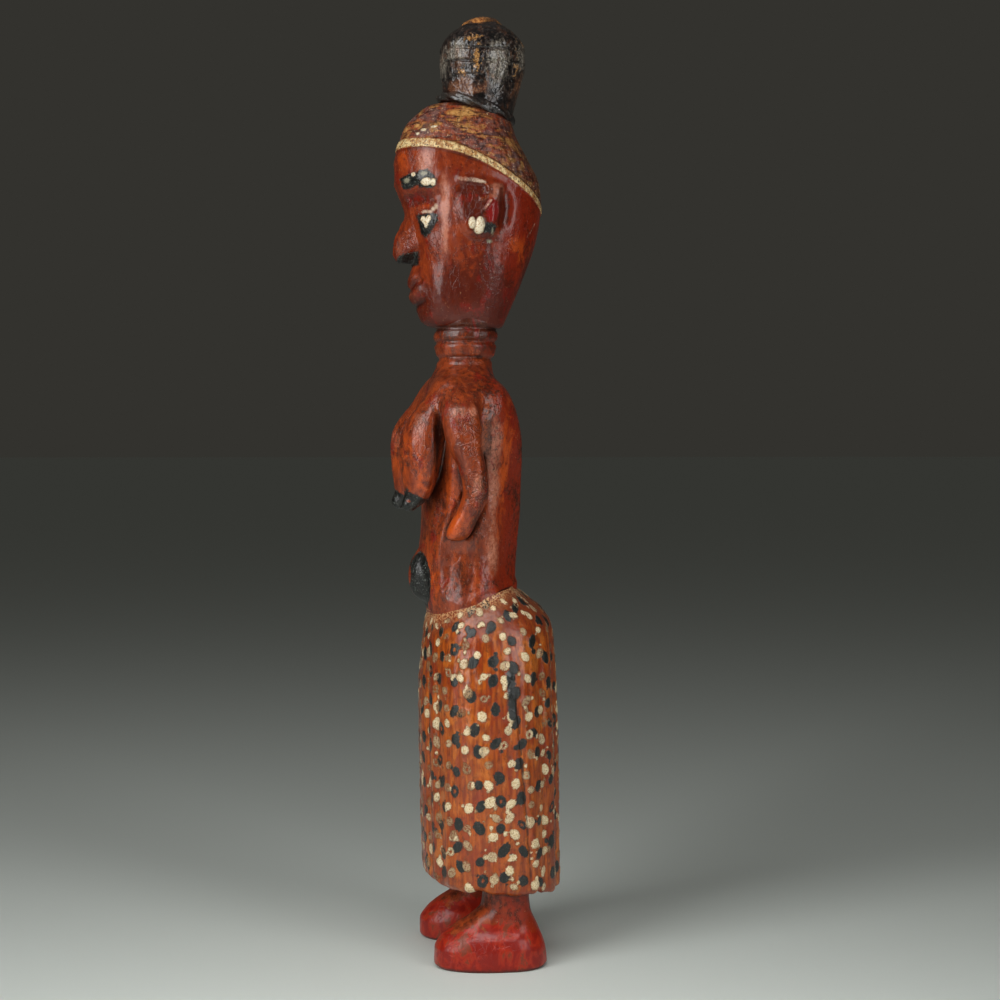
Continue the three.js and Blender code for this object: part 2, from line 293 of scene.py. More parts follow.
def skirt_turn(x, y, sizes):
    """Angle round the skirt in degrees, from 0 at the front to 90 at either side and 180 behind."""
    deep = sizes["middle"] - y
    depth = np.where(deep > 0, sizes["middle"] - sizes["front"], sizes["back"] - sizes["middle"])
    return np.degrees(np.arctan2(np.abs(x) / sizes["side"], deep / depth))


def skirt(x, y, z):
    share = skirt_share(y, z)
    sizes = skirt_sizes(share)
    body = oval(x, y, corner=SKIRT_CORNER, **sizes)
    turn = skirt_turn(x, y, sizes)
    below_waist = smooth_step(1 - share, 0.05, 0.3)
    for at in FOLD_TURNS:
        body = body + FOLD_DEPTH * below_waist * bump(turn - at, FOLD_REACH)
    past = (turn - PLEAT_TURN - PLEAT_LEAN * (1 - share)) * PLEAT_DEGREE
    pleat = PLEAT_DEPTH * bump(past, PLEAT_REACH) - 0.5 * bump(past - 2.6, 1.8)
    body = body + between(share, 0.04, 0.66, 0.06) * pleat
    body = body - FLUTE_DEPTH * below_waist * np.cos(np.radians(turn * FLUTES + 60 * np.sin(z / 31)))
    hem = -share * SKIRT_LENGTH
    hem = hem + sum(high * np.sin(np.radians(turn * count)) for high, count in HEM_WAVES)
    hem = hem + sum(high * bump(turn - at, reach) for high, at, reach in HEM_NOTCHES)
    top = (share - 1) * SKIRT_LENGTH
    body = within(within(body, hem, 3.0), top, 1.5)
    cord = np.hypot(oval(x, y, corner=SKIRT_CORNER, **skirt_sizes(1.0)), top + 0.6) - WAIST_CORD
    return join(body, cord, 0.8)


# The torso, breasts, navel and arms


TORSO_LINES = profile(
    side=(
        TORSO_WIDTH, (-0.2, 0.32), (0, 0.37), (0.14, 0.345), (0.28, 0.36), (0.42, 0.385), (0.55, 0.42),
        (0.7, 0.46), (0.8, 0.48), (0.87, 0.455), (0.93, 0.34), (1, 0.19),
    ),
    front=(
        TORSO_DEPTH, (-0.2, -0.34), (0, -0.45), (0.1, -0.48), (0.19, -0.5), (0.28, -0.48), (0.38, -0.475),
        (0.55, -0.46), (0.7, -0.47), (0.82, -0.46), (0.9, -0.43), (0.95, -0.38), (1, -0.29),
    ),
    back=(
        TORSO_DEPTH, (-0.2, 0.38), (0, 0.42), (0.15, 0.455), (0.28, 0.485), (0.41, 0.5), (0.54, 0.5),
        (0.63, 0.485), (0.76, 0.445), (0.85, 0.38), (0.9, 0.32), (0.95, 0.22), (1, 0.14),
    ),
)
BREAST_LINES = profile(
    side=(BREAST_WIDTH, (0, 0.2), (0.08, 0.3), (0.25, 0.42), (0.5, 0.5), (0.75, 0.46), (1, 0.3)),
    front=(
        TORSO_DEPTH, (0, -0.66), (0.05, -0.69), (0.18, -0.715), (0.31, -0.735), (0.45, -0.745), (0.57, -0.73),
        (0.7, -0.65), (0.84, -0.52), (1, -0.38),
    ),
    back=(TORSO_DEPTH, (0, -0.5), (0.12, -0.42), (0.3, -0.35), (0.6, -0.28), (1, -0.15)),
)
ARM_LINES = profile(
    middle=(
        ARM_WIDTH, (0, -0.75), (0.1, -0.6), (0.21, -0.4), (0.32, -0.28), (0.47, -0.38), (0.63, -0.57),
        (0.85, -0.67), (1, -0.62),
    ),
    inset=(
        ARM_THICKNESS, (0, 1.08), (0.1, 0.95), (0.27, 0.74), (0.5, 0.57), (0.67, 0.51), (0.77, 0.53),
        (0.85, 0.62), (0.91, 0.78), (0.96, 0.98), (1, 1.2),
    ),
    depth=(
        ARM_WIDTH, (0, 0.25), (0.08, 0.33), (0.3, 0.33), (0.47, 0.35), (0.63, 0.43), (0.76, 0.485),
        (0.85, 0.47), (0.93, 0.39), (1, 0.2),
    ),
    side=(
        ARM_THICKNESS, (0, 0.3), (0.08, 0.38), (0.27, 0.41), (0.5, 0.45), (0.72, 0.48), (0.84, 0.48),
        (0.93, 0.4), (1, 0.2),
    ),
)
BREAST_FOOT = COLLAR - 0.07 * TORSO_LENGTH - BREAST_LENGTH
BREAST_GAP = 0.27 * TORSO_WIDTH
ARM_TOP = COLLAR - 0.105 * TORSO_LENGTH
NIPPLE = (BREAST_GAP, -35.4, BREAST_FOOT + 1.0)
NIPPLE_HALF = (4.2, 4.2, 4.2)
BELLY = TORSO_LINES(0.09)["front"] + TORSO_MIDDLE
NAVEL = (0.0, BELLY + 0.96, WAIST + 0.09 * TORSO_LENGTH)
NAVEL_HALF = (8.6, 7.6, 12.5)
NECK_HALF = smooth_line((0, 13.45), (0.2, 14.25), (0.35, 14.85), (0.6, 15.95), (0.9, 16.05), (1, 16.75))
NECK_PLACE = smooth_line((0, -5.3), (0.3, -5.0), (0.6, -4.8), (1, -4.3))
NECK_GROOVES = (0.17, 0.6, 0.96)
NECK_GROOVE_DEPTH = 1.5
NECK_GROOVE_REACH = 1.3

ARMPIT = ((32.8, -22.4, 264), (32.0, -22.8, 255), (29.5, -22.4, 247), (27.5, -21.8, 241))
ARMPIT_FOLD = ((34, -19.6, 265), (33, -19.9, 255), (30.5, -19.2, 246))
ARMPIT_CUTS = ((ARMPIT, 1.9, 2.3), (ARMPIT_FOLD, -0.5, 1.5))
FLANK_SHORE = ((19, -24.5, 220), (20.5, -22.5, 213), (24, -18.5, 219))
FLANK_FOLD = ((31, -12.5, 250), (29, -14, 242), (27, -16.5, 225), (24.5, -20, 211), (21, -22, 196))
ARM_GROOVE = (
    (33, -0.2, 270), (31, -1.6, 256), (30, -1.6, 247), (29.5, -0.8, 240), (29, 0, 229), (28, -1, 222),
    (27.5, -4, 215), (27, -8, 208),
)
HAND_GROOVE = ((29, -9.5, 228), (27, -13.5, 219), (25.5, -17, 209), (25, -17.5, 203))
FLANK_CUTS = (
    (FLANK_SHORE, 0.8, 1.3),
    (FLANK_FOLD, -1.3, 3.2),
    (ARM_GROOVE, 1.7, 1.8),
    (HAND_GROOVE, 1.0, 1.5),
    (((27.5, -19.5, 243), (25.5, -21.0, 222)), -0.5, 1.4),
    (((28.8, -15.5, 240), (27.0, -18.0, 220)), -0.5, 1.4),
)
# Flats at the side and at the back's corner: their turns, and their reaches as shares of the half-width.
SIDE_FLAT = (14, 0.937)
BACK_FLAT = (48, 0.753)
UNDER_RIB_DEPTH = 1.5
UNDER_HAND_DEPTH = 1.4
SPINE_DEPTH = 1.3
BLADE_HEIGHT = 1.0
SEAT_SWELL = 1.4


def torso(x, y, z):
    sizes = TORSO_LINES((z - WAIST) / TORSO_LENGTH)
    side = sizes["side"]
    across = np.abs(x)
    deep = y - TORSO_MIDDLE
    body = oval(x, deep, corner=np.where(deep > 0, 3.0, 2.4), **sizes)
    turn, share = SIDE_FLAT
    body = within(body, plane(across, y, turn, share * side + 0.2), 1.5)
    turn, share = BACK_FLAT
    body = within(body, plane(across, y, turn, share * side + 1.6 * smooth_step(z, 235, 262)), 1.6)
    on_flank = smooth_step(across, 8, 14)
    on_back = smooth_step(y, 0, 8)
    under_rib = UNDER_RIB_DEPTH * dish(y, z, (-20, 229), (4.4, 13)) * on_flank
    under_hand = UNDER_HAND_DEPTH * between(y, -18.0, -5.0, 2.6) * between(z, 178, 203, 5) * on_flank
    spine = SPINE_DEPTH * bump(across, 3.2) * between(z, 186, 268, 8) * on_back
    blade = BLADE_HEIGHT * dish(across, z, (15, 256), (9, 13)) * on_back
    body = body + under_rib + under_hand + spine - blade + carve(x, y, z, FLANK_CUTS)
    seat = WAIST + WAIST_TILT * waist_back(y)
    body = body - SEAT_SWELL * smooth_step(seat + 5 - z, 0, 5) * smooth_step(y, -16, 0)
    foot = WAIST - 12 - z
    return within(within(body, foot), z - (COLLAR + 0.03 * TORSO_LENGTH), 2.0)


def breast(x, y, z):
    share = (z - BREAST_FOOT) / BREAST_LENGTH
    sizes = BREAST_LINES(share)
    middle = 0.4 * sizes["front"] + 0.6 * sizes["back"]
    body = oval(np.abs(x) - BREAST_GAP, y - TORSO_MIDDLE, middle=middle, **sizes)
    body = within(body, BREAST_FOOT - z, 5.0)
    body = within(body, z - BREAST_FOOT - BREAST_LENGTH, 3.0)
    return join(body, lump(np.abs(x), y, z, NIPPLE, NIPPLE_HALF), 2.4)


def arm(x, y, z):
    sizes = ARM_LINES((z - ARM_TOP + ARM_LENGTH) / ARM_LENGTH)
    beside = np.abs(x) - SHOULDER_SPAN / 2 + sizes["inset"]
    body = oval(beside, y - sizes["middle"], sizes["side"], -sizes["depth"], sizes["depth"], corner=2.3)
    ends = np.abs(z - ARM_TOP + ARM_LENGTH / 2) - ARM_LENGTH / 2
    return within(body, ends, 3.5)


def neck(x, y, z):
    share = (z - COLLAR) / NECK_LENGTH
    half = NECK_HALF(share)
    for at in NECK_GROOVES:
        half = half - NECK_GROOVE_DEPTH * bump((share - at) * NECK_LENGTH, NECK_GROOVE_REACH)
    body = oval(x, y - NECK_PLACE(share), half, -half, half)
    return within(body, np.abs(z - COLLAR - NECK_LENGTH / 2) - NECK_LENGTH / 2 - 6)


def trunk(x, y, z):
    body = torso(x, y, z)
    body = join(body, breast(x, y, z), 1.2 + 7.0 * smooth_step(z, 248, 276))
    body = join(body, neck(x, y, z), 1.5 + 4.0 * (1 - smooth_step(z, COLLAR, COLLAR + 3)))
    body = join(body, arm(x, y, z), 0.8 + 4.5 * smooth_step(z, 262, 276))
    body = join(body, lump(x, y, z, NAVEL, NAVEL_HALF), 3.2)
    return body + carve(x, y, z, ARMPIT_CUTS)


# The head


HEAD_LINES = profile(
    side=(
        HEAD_WIDTH, (0, 0.27), (0.05, 0.32), (0.15, 0.37), (0.3, 0.425), (0.45, 0.475), (0.6, 0.5),
        (0.75, 0.485), (0.85, 0.43), (0.94, 0.34), (1, 0.24),
    ),
    front=(
        HEAD_DEPTH, (0, -0.27), (0.03, -0.325), (0.055, -0.34), (0.1, -0.353), (0.15, -0.36), (0.27, -0.362),
        (0.35, -0.385), (0.5, -0.43), (0.57, -0.468), (0.61, -0.49), (0.66, -0.505), (0.73, -0.51),
        (0.79, -0.49), (0.84, -0.468), (0.9, -0.43), (0.95, -0.36), (0.98, -0.31), (1, -0.26),
    ),
    back=(
        HEAD_DEPTH, (0, 0.22), (0.12, 0.3), (0.25, 0.38), (0.4, 0.455), (0.55, 0.485), (0.65, 0.47),
        (0.75, 0.395), (0.84, 0.32), (0.93, 0.27), (1, 0.18),
    ),
)
HEAD_CORNER = 2.2
# The facets beside the forehead and beside the ear: their turns and how far out they lie, the second one
# at each height.
BROW_TURN = -46.7
BROW_REACH = 30.6
FACET_TURN = -27.0
FACET_REACH = smooth_line(
    (324, 25.0), (338, 25.7), (350, 27.2), (361, 28.7), (374, 30.4), (384, 31.2), (394, 36)
)
TEMPLE_DEPTH = 0.8
CHEEK_DEPTH = 0.7

NOSE_LENGTH = 29.0
NOSE_WIDTH = 13.5
NOSE_REACH = 9.7
NOSE_FOOT = JAW + 0.297 * HEAD_LENGTH
NOSE_LINES = profile(
    reach=(
        NOSE_REACH, (-0.05, 0.72), (0.02, 0.88), (0.1, 1), (0.19, 1), (0.27, 0.955), (0.35, 0.87),
        (0.44, 0.72), (0.53, 0.51), (0.62, 0.35), (0.72, 0.13), (0.85, 0.02), (1, 0),
    ),
    side=(NOSE_WIDTH, (-0.05, 0.72), (0.1, 0.76), (0.35, 0.74), (0.65, 0.68), (0.85, 0.6), (1, 0.4)),
)
NOSE_CORNER = 1.3
# The nose is undercut from a keel under its tip: a plane that leans, with these parts along -Z and X.
NOSE_KEEL = (0.773, 0.635)
MUZZLE = (0.0, -26.0, 330.5)
MUZZLE_HALF = (9.0, 7.6, 12.0)
MOUTH = ((0, -33.2, 327.6), (3, -33.0, 328.3), (6.9, -30.6, 331.9), (8.4, -29.0, 332.6))
LIP_SHADOW = ((0, -29.6, 320.4), (4, -28.9, 320.9), (8.5, -26.6, 322.2))
UPPER_LIP = ((0, -33.2, 332.6), (4.5, -31.8, 334.2))
LOWER_LIP = ((0, -32.2, 324.6), (4.5, -31.0, 325.8), (7.5, -28.8, 328.0))
MOUTH_CUTS = ((UPPER_LIP, -0.6, 2.2), (LOWER_LIP, -0.6, 2.2), (MOUTH, 2.2, 1.3), (LIP_SHADOW, 1.2, 1.6))

BROW = ((5.5, -38.4, 381.0), (12, -35.4, 381.4), (18, -30.5, 381.0), (23.5, -23, 379.4))
SOCKET = ((8.8, -33.8, 372.6), (15.0, -31.0, 371.8), (19.8, -27.2, 372.0), (23, -22, 372.4))
LID = ((12.5, -31.7, 367.4), (17, -28.5, 368.2), (21.8, -23.2, 368.6))
EYE_CUTS = ((BROW, -1.0, 2.6), (SOCKET, 2.0, 3.0), (SOCKET, 0.6, 0.8), (LID, -0.8, 1.4))
EYE = (18.4, -27.2, 360.8)
EYE_HEIGHT = 1.5
EYE_REACHES = (4.6, 4.6, 4.6 / 1.1)

EAR_PAD = (25.2, -1.5, 366.5)
EAR_PAD_HALF = (4.0, 11.0, 14.5)
EAR_RIM = ((26.8, -11.8, 380.3), (27.8, -5.9, 380.0), (29.4, 0.0, 378.6), (29.8, 1.8, 375.6))
EAR_HOLLOW = ((28.6, -8.0, 376.0), (29.4, -1.0, 375.6))
EAR_FOLD = (
    (29.6, -3.4, 372.6), (29.8, -1.2, 373.8), (30.0, 0.8, 373.0), (29.8, 0.8, 371.2), (29.6, -1.5, 370.4)
)
EAR_SWELLING = (28.0, 6.4, 374.6)
EAR_SWELLING_HEIGHT = 2.2
EAR_SWELLING_REACHES = (4.2, 4.2, 4.2)
EAR_RIDGE = ((30.0, 3.3, 369.8), (30.2, 0.8, 366.2), (30.2, -2.4, 362.4))
EAR_BACK = ((29.4, -6.2, 370.0), (29.6, -4.6, 364.5))
EAR_FLAP = ((29.6, 4.6, 369.6), (29.4, 4.4, 365), (28.9, 4.0, 360.2))
EAR_GROOVE = ((25.4, 10.8, 373), (24.6, 12.2, 367), (24.6, 11.0, 360.5))
EAR_CUTS = (
    (EAR_RIM, -1.5, 1.6), (EAR_HOLLOW, 3.0, 2.6), (EAR_FOLD, -1.0, 0.8), (EAR_BACK, 1.7, 3.2),
    (EAR_RIDGE, -1.1, 0.9), (EAR_FLAP, -0.5, 1.8), (EAR_GROOVE, 1.6, 2.8),
)
EAR_LOBES = (((27.6, -6.0, 358.9), (2.7, 2.3, 3.4)), ((28.0, -2.3, 358.0), (3.2, 2.7, 4.6)))
# The band is raised by its height. Its swell widens it in front, in full from the last number on.
BAND_HALF = 1.75
BAND_HEIGHT = 0.7
BAND_SWELL = 0.35
BAND_SWELL_DEPTH = 25.0
LOCKS = 44
LOCK_DEPTH = 0.14


def spot(x, y, z, middle, reaches):
    """A bump in space, on both sides."""
    return math.prod(bump(v - m, r) for v, m, r in zip((np.abs(x), y, z), middle, reaches))


def head_shell(x, y, z):
    """Distance outside the smooth head, before any carving."""
    return oval(x, y - HEAD_MIDDLE, corner=HEAD_CORNER, **HEAD_LINES((z - JAW) / HEAD_LENGTH))


def skull(x, y, z):
    across = np.abs(x)
    brow_reach = BROW_REACH + 5 * smooth_step(z, 366, 384) - 0.1 * np.maximum(352 - z, 0)
    body = within(head_shell(x, y, z), plane(across, y, BROW_TURN, brow_reach), 1.2)
    body = within(body, plane(across, y, FACET_TURN, FACET_REACH(z)), 0.6)
    temple = TEMPLE_DEPTH * dish(y, z, (-9, 392), (8, 9)) * smooth_step(across, 12, 20)
    cheek = CHEEK_DEPTH * dish(y, z, (-12, 338), (9, 14)) * smooth_step(across, 8, 14)
    under = JAW - 0.4 - 0.03 * y - z
    body = within(body + temple + cheek, under, 2.2)
    return within(body, z - CROWN, 3.0)


def nose(x, y, z):
    """A wedge with flat sides, cut off level below."""
    sizes = NOSE_LINES((z - NOSE_FOOT) / NOSE_LENGTH)
    face = HEAD_LINES(np.maximum((z - JAW) / HEAD_LENGTH, 0.36))["front"] + HEAD_MIDDLE
    body = oval(x, y, sizes["side"], face - sizes["reach"], face + NOSE_REACH, face + 1.5, NOSE_CORNER)
    keel = (NOSE_FOOT - 1.0 - z) * NOSE_KEEL[0] + (np.abs(x) - 1.0) * NOSE_KEEL[1]
    body = within(body, keel, 1.2)
    body = within(body, NOSE_FOOT - 1.4 - z, 1.0)
    return within(body, z - NOSE_FOOT - NOSE_LENGTH, 1.0)


def band_level(x, y):
    """Height of the band's middle line, high over the brow and low behind."""
    turn = np.arctan2(np.abs(x) / 27, (HEAD_MIDDLE - y) / 35)
    return JAW + HEAD_LENGTH * (0.7 + 0.142 * np.cos(turn) - 0.037 * np.cos(2 * turn))


def band(x, y, z):
    surface = head_shell(x, y, z)
    half = BAND_HALF + BAND_SWELL * smooth_step(-y, 0, BAND_SWELL_DEPTH)
    flat = within(surface - BAND_HEIGHT, np.abs(z - band_level(x, y)) * 0.85 - half, 1.0)
    return within(flat, -surface - 2.0)


def head(x, y, z):
    body = skull(x, y, z) + carve(x, y, z, EYE_CUTS)
    body = body - EYE_HEIGHT * spot(x, y, z, EYE, EYE_REACHES)
    body = join(body, nose(x, y, z), 1.0)
    body = join(body, lump(x, y, z, MUZZLE, MUZZLE_HALF), 4.0)
    body = body + carve(x, y, z, MOUTH_CUTS)
    body = join(body, lump(np.abs(x), y, z, EAR_PAD, EAR_PAD_HALF), 2.5)
    body = body + carve(x, y, z, EAR_CUTS)
    body = body - EAR_SWELLING_HEIGHT * spot(x, y, z, EAR_SWELLING, EAR_SWELLING_REACHES)
    for middle, half in EAR_LOBES:
        body = join(body, lump(np.abs(x), y, z, middle, half), 0.5)
    above = z - band_level(x, y)
    turn = np.arctan2(x, HEAD_MIDDLE - y)
    locks = np.sin(turn * LOCKS + 0.35 * above) * (0.6 + 0.4 * np.sin(turn * 7 + z / 3))
    body = body - LOCK_DEPTH * smooth_step(above, 1.5, 3.0) * locks
    return join(body, band(x, y, z), 0.6)


# The topknot, with its coil and knob


COIL_THICKNESS = 4.4
COIL_STRANDS = 3
COIL_TWISTS = 9
COIL_STRAND_DEPTH = 0.4
COIL_SLOPE = 0.14
BUN_HALF = smooth_line(
    (0, 0.37), (0.3, 0.435), (0.46, 0.475), (0.62, 0.508), (0.77, 0.503), (0.85, 0.465), (0.93, 0.375),
    (1, 0.26),
)
BUN_FOOT = CROWN - 12.0
# Cuts across the topknot: height, depth and sway of each.
BUN_CUTS = ((458.4, 0.7, 0.3), (453.5, 0.5, 0.8), (446.2, 0.9, 0.7), (440.0, 1.1, 0.9), (432.3, 0.8, 0.8))
# Cuts down the topknot: angle in degrees, lowest and highest point. A degree there is 0.36 mm.
BUN_SEAMS = (
    (38, 431, 455), (66, 440, 452), (104, 431, 441), (150, 438, 452), (-34, 436, 455), (-95, 430, 447)
)
BUN_DEGREE = 0.36
BUN_SEAM_DEPTH = 0.8
CUT_REACH = 0.65


def bun(x, y, z):
    share = (z - BUN_FOOT) / (BUN_TOP - BUN_FOOT)
    half = BUN_HALF(share) * BUN_WIDTH
    middle = BUN_MIDDLE * np.clip(0.2 + 1.4 * share, 0, 1)
    body = oval(x, y - middle, half, -half, half)
    turn = np.arctan2(x, middle - y)
    for level, depth, sway in BUN_CUTS:
        line = z - level - sway * np.sin(3 * turn + level)
        patchy = 0.6 + 0.4 * np.sin(2 * turn + 0.7 * level)
        body = body + depth * patchy * bump(line, CUT_REACH)
    for at, low, high in BUN_SEAMS:
        seam = (np.degrees(turn) - at) * BUN_DEGREE
        body = body + BUN_SEAM_DEPTH * bump(seam, CUT_REACH) * between(z, low, high, 1.0)
    return within(within(body, BUN_FOOT - z), z - BUN_TOP, 1.2)


def bun_coil(x, y, z):
    """A twisted cord round the topknot's foot, lower in front."""
    half = BUN_HALF(0.28) * BUN_WIDTH - COIL_THICKNESS / 4
    radius = np.hypot(x, y) + 1e-3
    level = CROWN - COIL_THICKNESS / 2 - COIL_SLOPE * BUN_LENGTH * y / radius
    round_cord = np.arctan2(z - level, radius - half)
    strands = np.cos(COIL_STRANDS * round_cord + COIL_TWISTS * np.arctan2(x, -y))
    cord = np.hypot(radius - half, z - level) - COIL_THICKNESS / 2 - 0.2
    return cord - COIL_STRAND_DEPTH * strands


def knob(x, y, z):
    half = 0.62 * KNOB_WIDTH
    return lump(x, y, z, (0.0, BUN_MIDDLE - 0.4, BUN_TOP - 0.6), (half, half, KNOB_HEIGHT + 0.6))


def topknot(x, y, z):
    body = join(bun(x, y, z), knob(x, y, z), 0.3)
    return join(body, bun_coil(x, y, z), 0.5)


# The feet


SHOE_LINES = profile(
    side=(SHOE_WIDTH, (0, 0.49), (0.08, 0.505), (0.38, 0.5), (0.6, 0.46), (0.85, 0.38), (1.1, 0.34)),
    front=(
        SHOE_LENGTH, (0, -0.4), (0.08, -0.43), (0.38, -0.43), (0.6, -0.375), (0.8, -0.28), (1.03, -0.12),
        (1.25, -0.02), (1.5, 0),
    ),
    back=(SHOE_LENGTH, (0, 0.52), (0.1, 0.55), (0.35, 0.54), (0.8, 0.47), (1.25, 0.4), (1.6, 0.39)),
)


def foot(x, y, z):
    at = z / SHOE_HEIGHT
    leg = smooth_step(at, 0.6, 1)
    sizes = SHOE_LINES(at)
    sizes["side"] = sizes["side"] * (1 - leg) + ANKLE_WIDTH / 2 * leg
    body = oval(np.abs(x) - FOOT_SPREAD / 2, y, middle=0.2 * SHOE_LENGTH, corner=2.3, **sizes)
    return within(within(body, -z, 0.8), z - HEM - 10)


# The meshes


# The unevenness that knives leave, longer along the grain: depth, noise and sizes.
KNIFE_MARKS = (
    (0.40, broad_noise, (9, 9, 22)), (0.20, fine_noise, (4, 4, 9)), (0.09, broad_noise, (1.7, 1.7, 3.2))
)


class Part(NamedTuple):
    """A part with a mesh of its own: its field, its grid's step and corners, and its knife marks' depth."""

    name: str
    field: Callable
    step: float
    marks: float
    low: tuple
    high: tuple

    def surface(self, x, y, z):
        """The part's field with its knife marks."""
        worn = sum(depth * noise(x, y, z, sizes) for depth, noise, sizes in KNIFE_MARKS)
        return self.field(x, y, z) - self.marks * worn * smooth_step(z, 0.5, 4)


PARTS = (
    Part("shoes", foot, 0.62, 0.8, (-46.0, -26.0, -1.0), (46.0, 36.0, 48.5)),
    Part("skirt", skirt, 0.84, 0.7, (-47.0, -31.0, 29.0), (47.0, 44.0, 192.0)),
    Part("trunk", trunk, 0.72, 1.0, (-48.0, -44.0, 163.0), (48.0, 26.0, 317.0)),
    Part("head", head, 0.62, 0.8, (-33.0, -45.0, 309.0), (33.0, 36.0, 423.0)),
    Part("topknot", topknot, 0.5, 1.3, (-24.0, -22.0, 407.0), (24.0, 28.0, 466.5)),
)
# A block is this many grid steps long, deep and high.
BLOCK = 3
# The grids are moved by this much, so that no point of theirs lies right on the figure's middle plane.
GRID_SHIFT = 0.013
# The step over which a field's slope is measured, and the rounds in which points are spread and drawn in.
PROBE = 0.15
ROUNDS = 3
# Parts more than NEAR above or below a point are left out. FAR stands for a point that is near none.
NEAR = 4.0
FAR = 30.0


def sample(field, axes, step):
    """The field on a grid. Blocks of the grid far from the surface take the field at their first corner."""
    values = field(*np.ix_(*(line[::BLOCK] for line in axes)))
    for axis in range(3):
        values = np.repeat(values, BLOCK, axis)
    values = values[tuple(slice(0, len(line)) for line in axes)].copy()
    near = np.nonzero(np.abs(values) < 2.0 * BLOCK * step)
    values[near] = field(*(line[n] for line, n in zip(axes, near)))
    return values


def surface_net(axes, values):
    """Points and four-sided faces of a grid's zero surface, with one point to each cell that it crosses."""
    inside = values < 0
    shape = tuple(n - 1 for n in values.shape)
    corners = list(product((0, 1), repeat=3))
    moves = np.eye(3, dtype=int)
    count = np.zeros(shape, np.int8)
    for corner in corners:
        count += inside[tuple(slice(first, n + first) for first, n in zip(corner, shape))]
    active = (count > 0) & (count < 8)
    cells = np.argwhere(active)
    number = np.full(shape, -1, np.int64)
    number[active] = np.arange(len(cells))
    total = np.zeros((len(cells), 3))
    crossings = np.zeros(len(cells))
    for corner, axis in product(corners, range(3)):
        if corner[axis]:
            continue
        start = cells + corner
        end = start + moves[axis]
        a = values[tuple(start.T)]
        b = values[tuple(end.T)]
        crosses = (a < 0) != (b < 0)
        share = np.where(crosses, a / np.where(crosses, a - b, 1), 0)
        place = np.stack([line[start[:, n]] for n, line in enumerate(axes)], 1)
        place[:, axis] += share * (axes[axis][end[:, axis]] - axes[axis][start[:, axis]])
        total += place * crosses[:, None]
        crossings += crosses
    faces = []
    for axis in range(3):
        ahead, u, v = (moves[(axis + n) % 3] for n in range(3))
        a = inside[tuple(slice(0, -1) if n == axis else slice(1, -1) for n in range(3))]
        b = inside[tuple(slice(1, None) if n == axis else slice(1, -1) for n in range(3))]
        crosses = a != b
        edges = np.argwhere(crosses) + 1 - ahead
        ring = np.stack([number[tuple((edges - back).T)] for back in (u + v, v, 0, u)], 1)
        inward = ~a[crosses]
        ring[inward] = ring[inward][:, ::-1]
        faces.append(ring)
    return total / crossings[:, None], np.concatenate(faces)


def slope_of(field, points):
    """The field and its gradient at each point."""
    here = field(*points.T)
    return here, np.stack([(field(*(points + move).T) - here) / PROBE for move in PROBE * np.eye(3)], 1)


def settle(field, points, faces):
    """Spreads the points evenly over the surface and draws them onto it. Gives their normals too."""
    starts = faces.ravel()
    ends = np.roll(faces, -1, 1).ravel()

    def beside(values):
        """For each point, the sum of its neighbours' values."""
        return np.bincount(starts, values[ends], len(values)) + np.bincount(ends, values[starts], len(values))

    count = beside(np.ones(len(points)))
    for turn in range(ROUNDS):
        here, slope = slope_of(field, points)
        steep = np.maximum((slope**2).sum(1), 0.05)
        points = points - np.clip(here / steep, -1.0, 1.0)[:, None] * slope
        normals = slope / np.sqrt(steep)[:, None]
        if turn < ROUNDS - 1:
            shift = np.stack([beside(line) for line in points.T], 1) / count[:, None] - points
            shift -= (shift * normals).sum(1)[:, None] * normals
            points = points + 0.5 * shift
    return points, normals


def figure(x, y, z):
    """Distance outside the whole figure, for lists of coordinates."""
    body = np.full(len(x), FAR)
    for part in PARTS:
        near = (z > part.low[2] - NEAR) & (z < part.high[2] + NEAR)
        body[near] = np.minimum(body[near], part.surface(x[near], y[near], z[near]))
    return body


# The paint: distances inside each colour's edge, in millimetres


DOT_COLUMNS = 24
DOT_PHASE = 91.0
DOT_TOP = 0.985 * SKIRT_LENGTH
# The dots are brightest round one turn, in degrees from the front, and dimmer away from it: painted light,
# with the dots that face the light bright and those turned from it shaded.
LIT_TURN = 98.0
LIT_REACH = 32.0
AWAY_SHADE = 0.45
RING_SHARE = 0.1
RING_HOLE = 0.8
LEAN = 0.22
DOT_REACH = 7.0
NO_PAINT = -3.0
# The step up a column, the stray to either side, the half-widths and the heights as shares of the widths.
BLACK_DOTS = (12.6, 0.9, (2.1, 2.8), (1.0, 1.35))
WHITE_DOTS = (8.6, 1.4, (1.8, 2.6), (0.85, 1.2))


def skirt_point(turn, share):
    """A place on the skirt, at an angle in degrees from the front and a share of the skirt's height."""
    sizes = skirt_sizes(share)
    sine, cosine = math.sin(math.radians(turn)), math.cos(math.radians(turn))
    reach = 1 / (abs(sine) ** SKIRT_CORNER + abs(cosine) ** SKIRT_CORNER) ** (1 / SKIRT_CORNER)
    depth = sizes["middle"] - sizes["front"] if cosine > 0 else sizes["back"] - sizes["middle"]
    x = reach * sine * sizes["side"]
    y = sizes["middle"] - reach * cosine * depth
    return np.array([x, y, HEM + share * SKIRT_LENGTH + skirt_shift(y, share)], float)


def column_turns(count, phase):
    """Angles that share the skirt's outline into even lengths, from phase on, and the outline's length."""
    turns = np.linspace(phase, phase + 360, 721)
    places = np.array([skirt_point(turn, 0.5) for turn in turns])
    length = np.concatenate([[0], np.cumsum(np.linalg.norm(np.diff(places, axis=0), axis=1))])
    return np.interp(np.arange(count) * length[-1] / count, length, turns), length[-1]


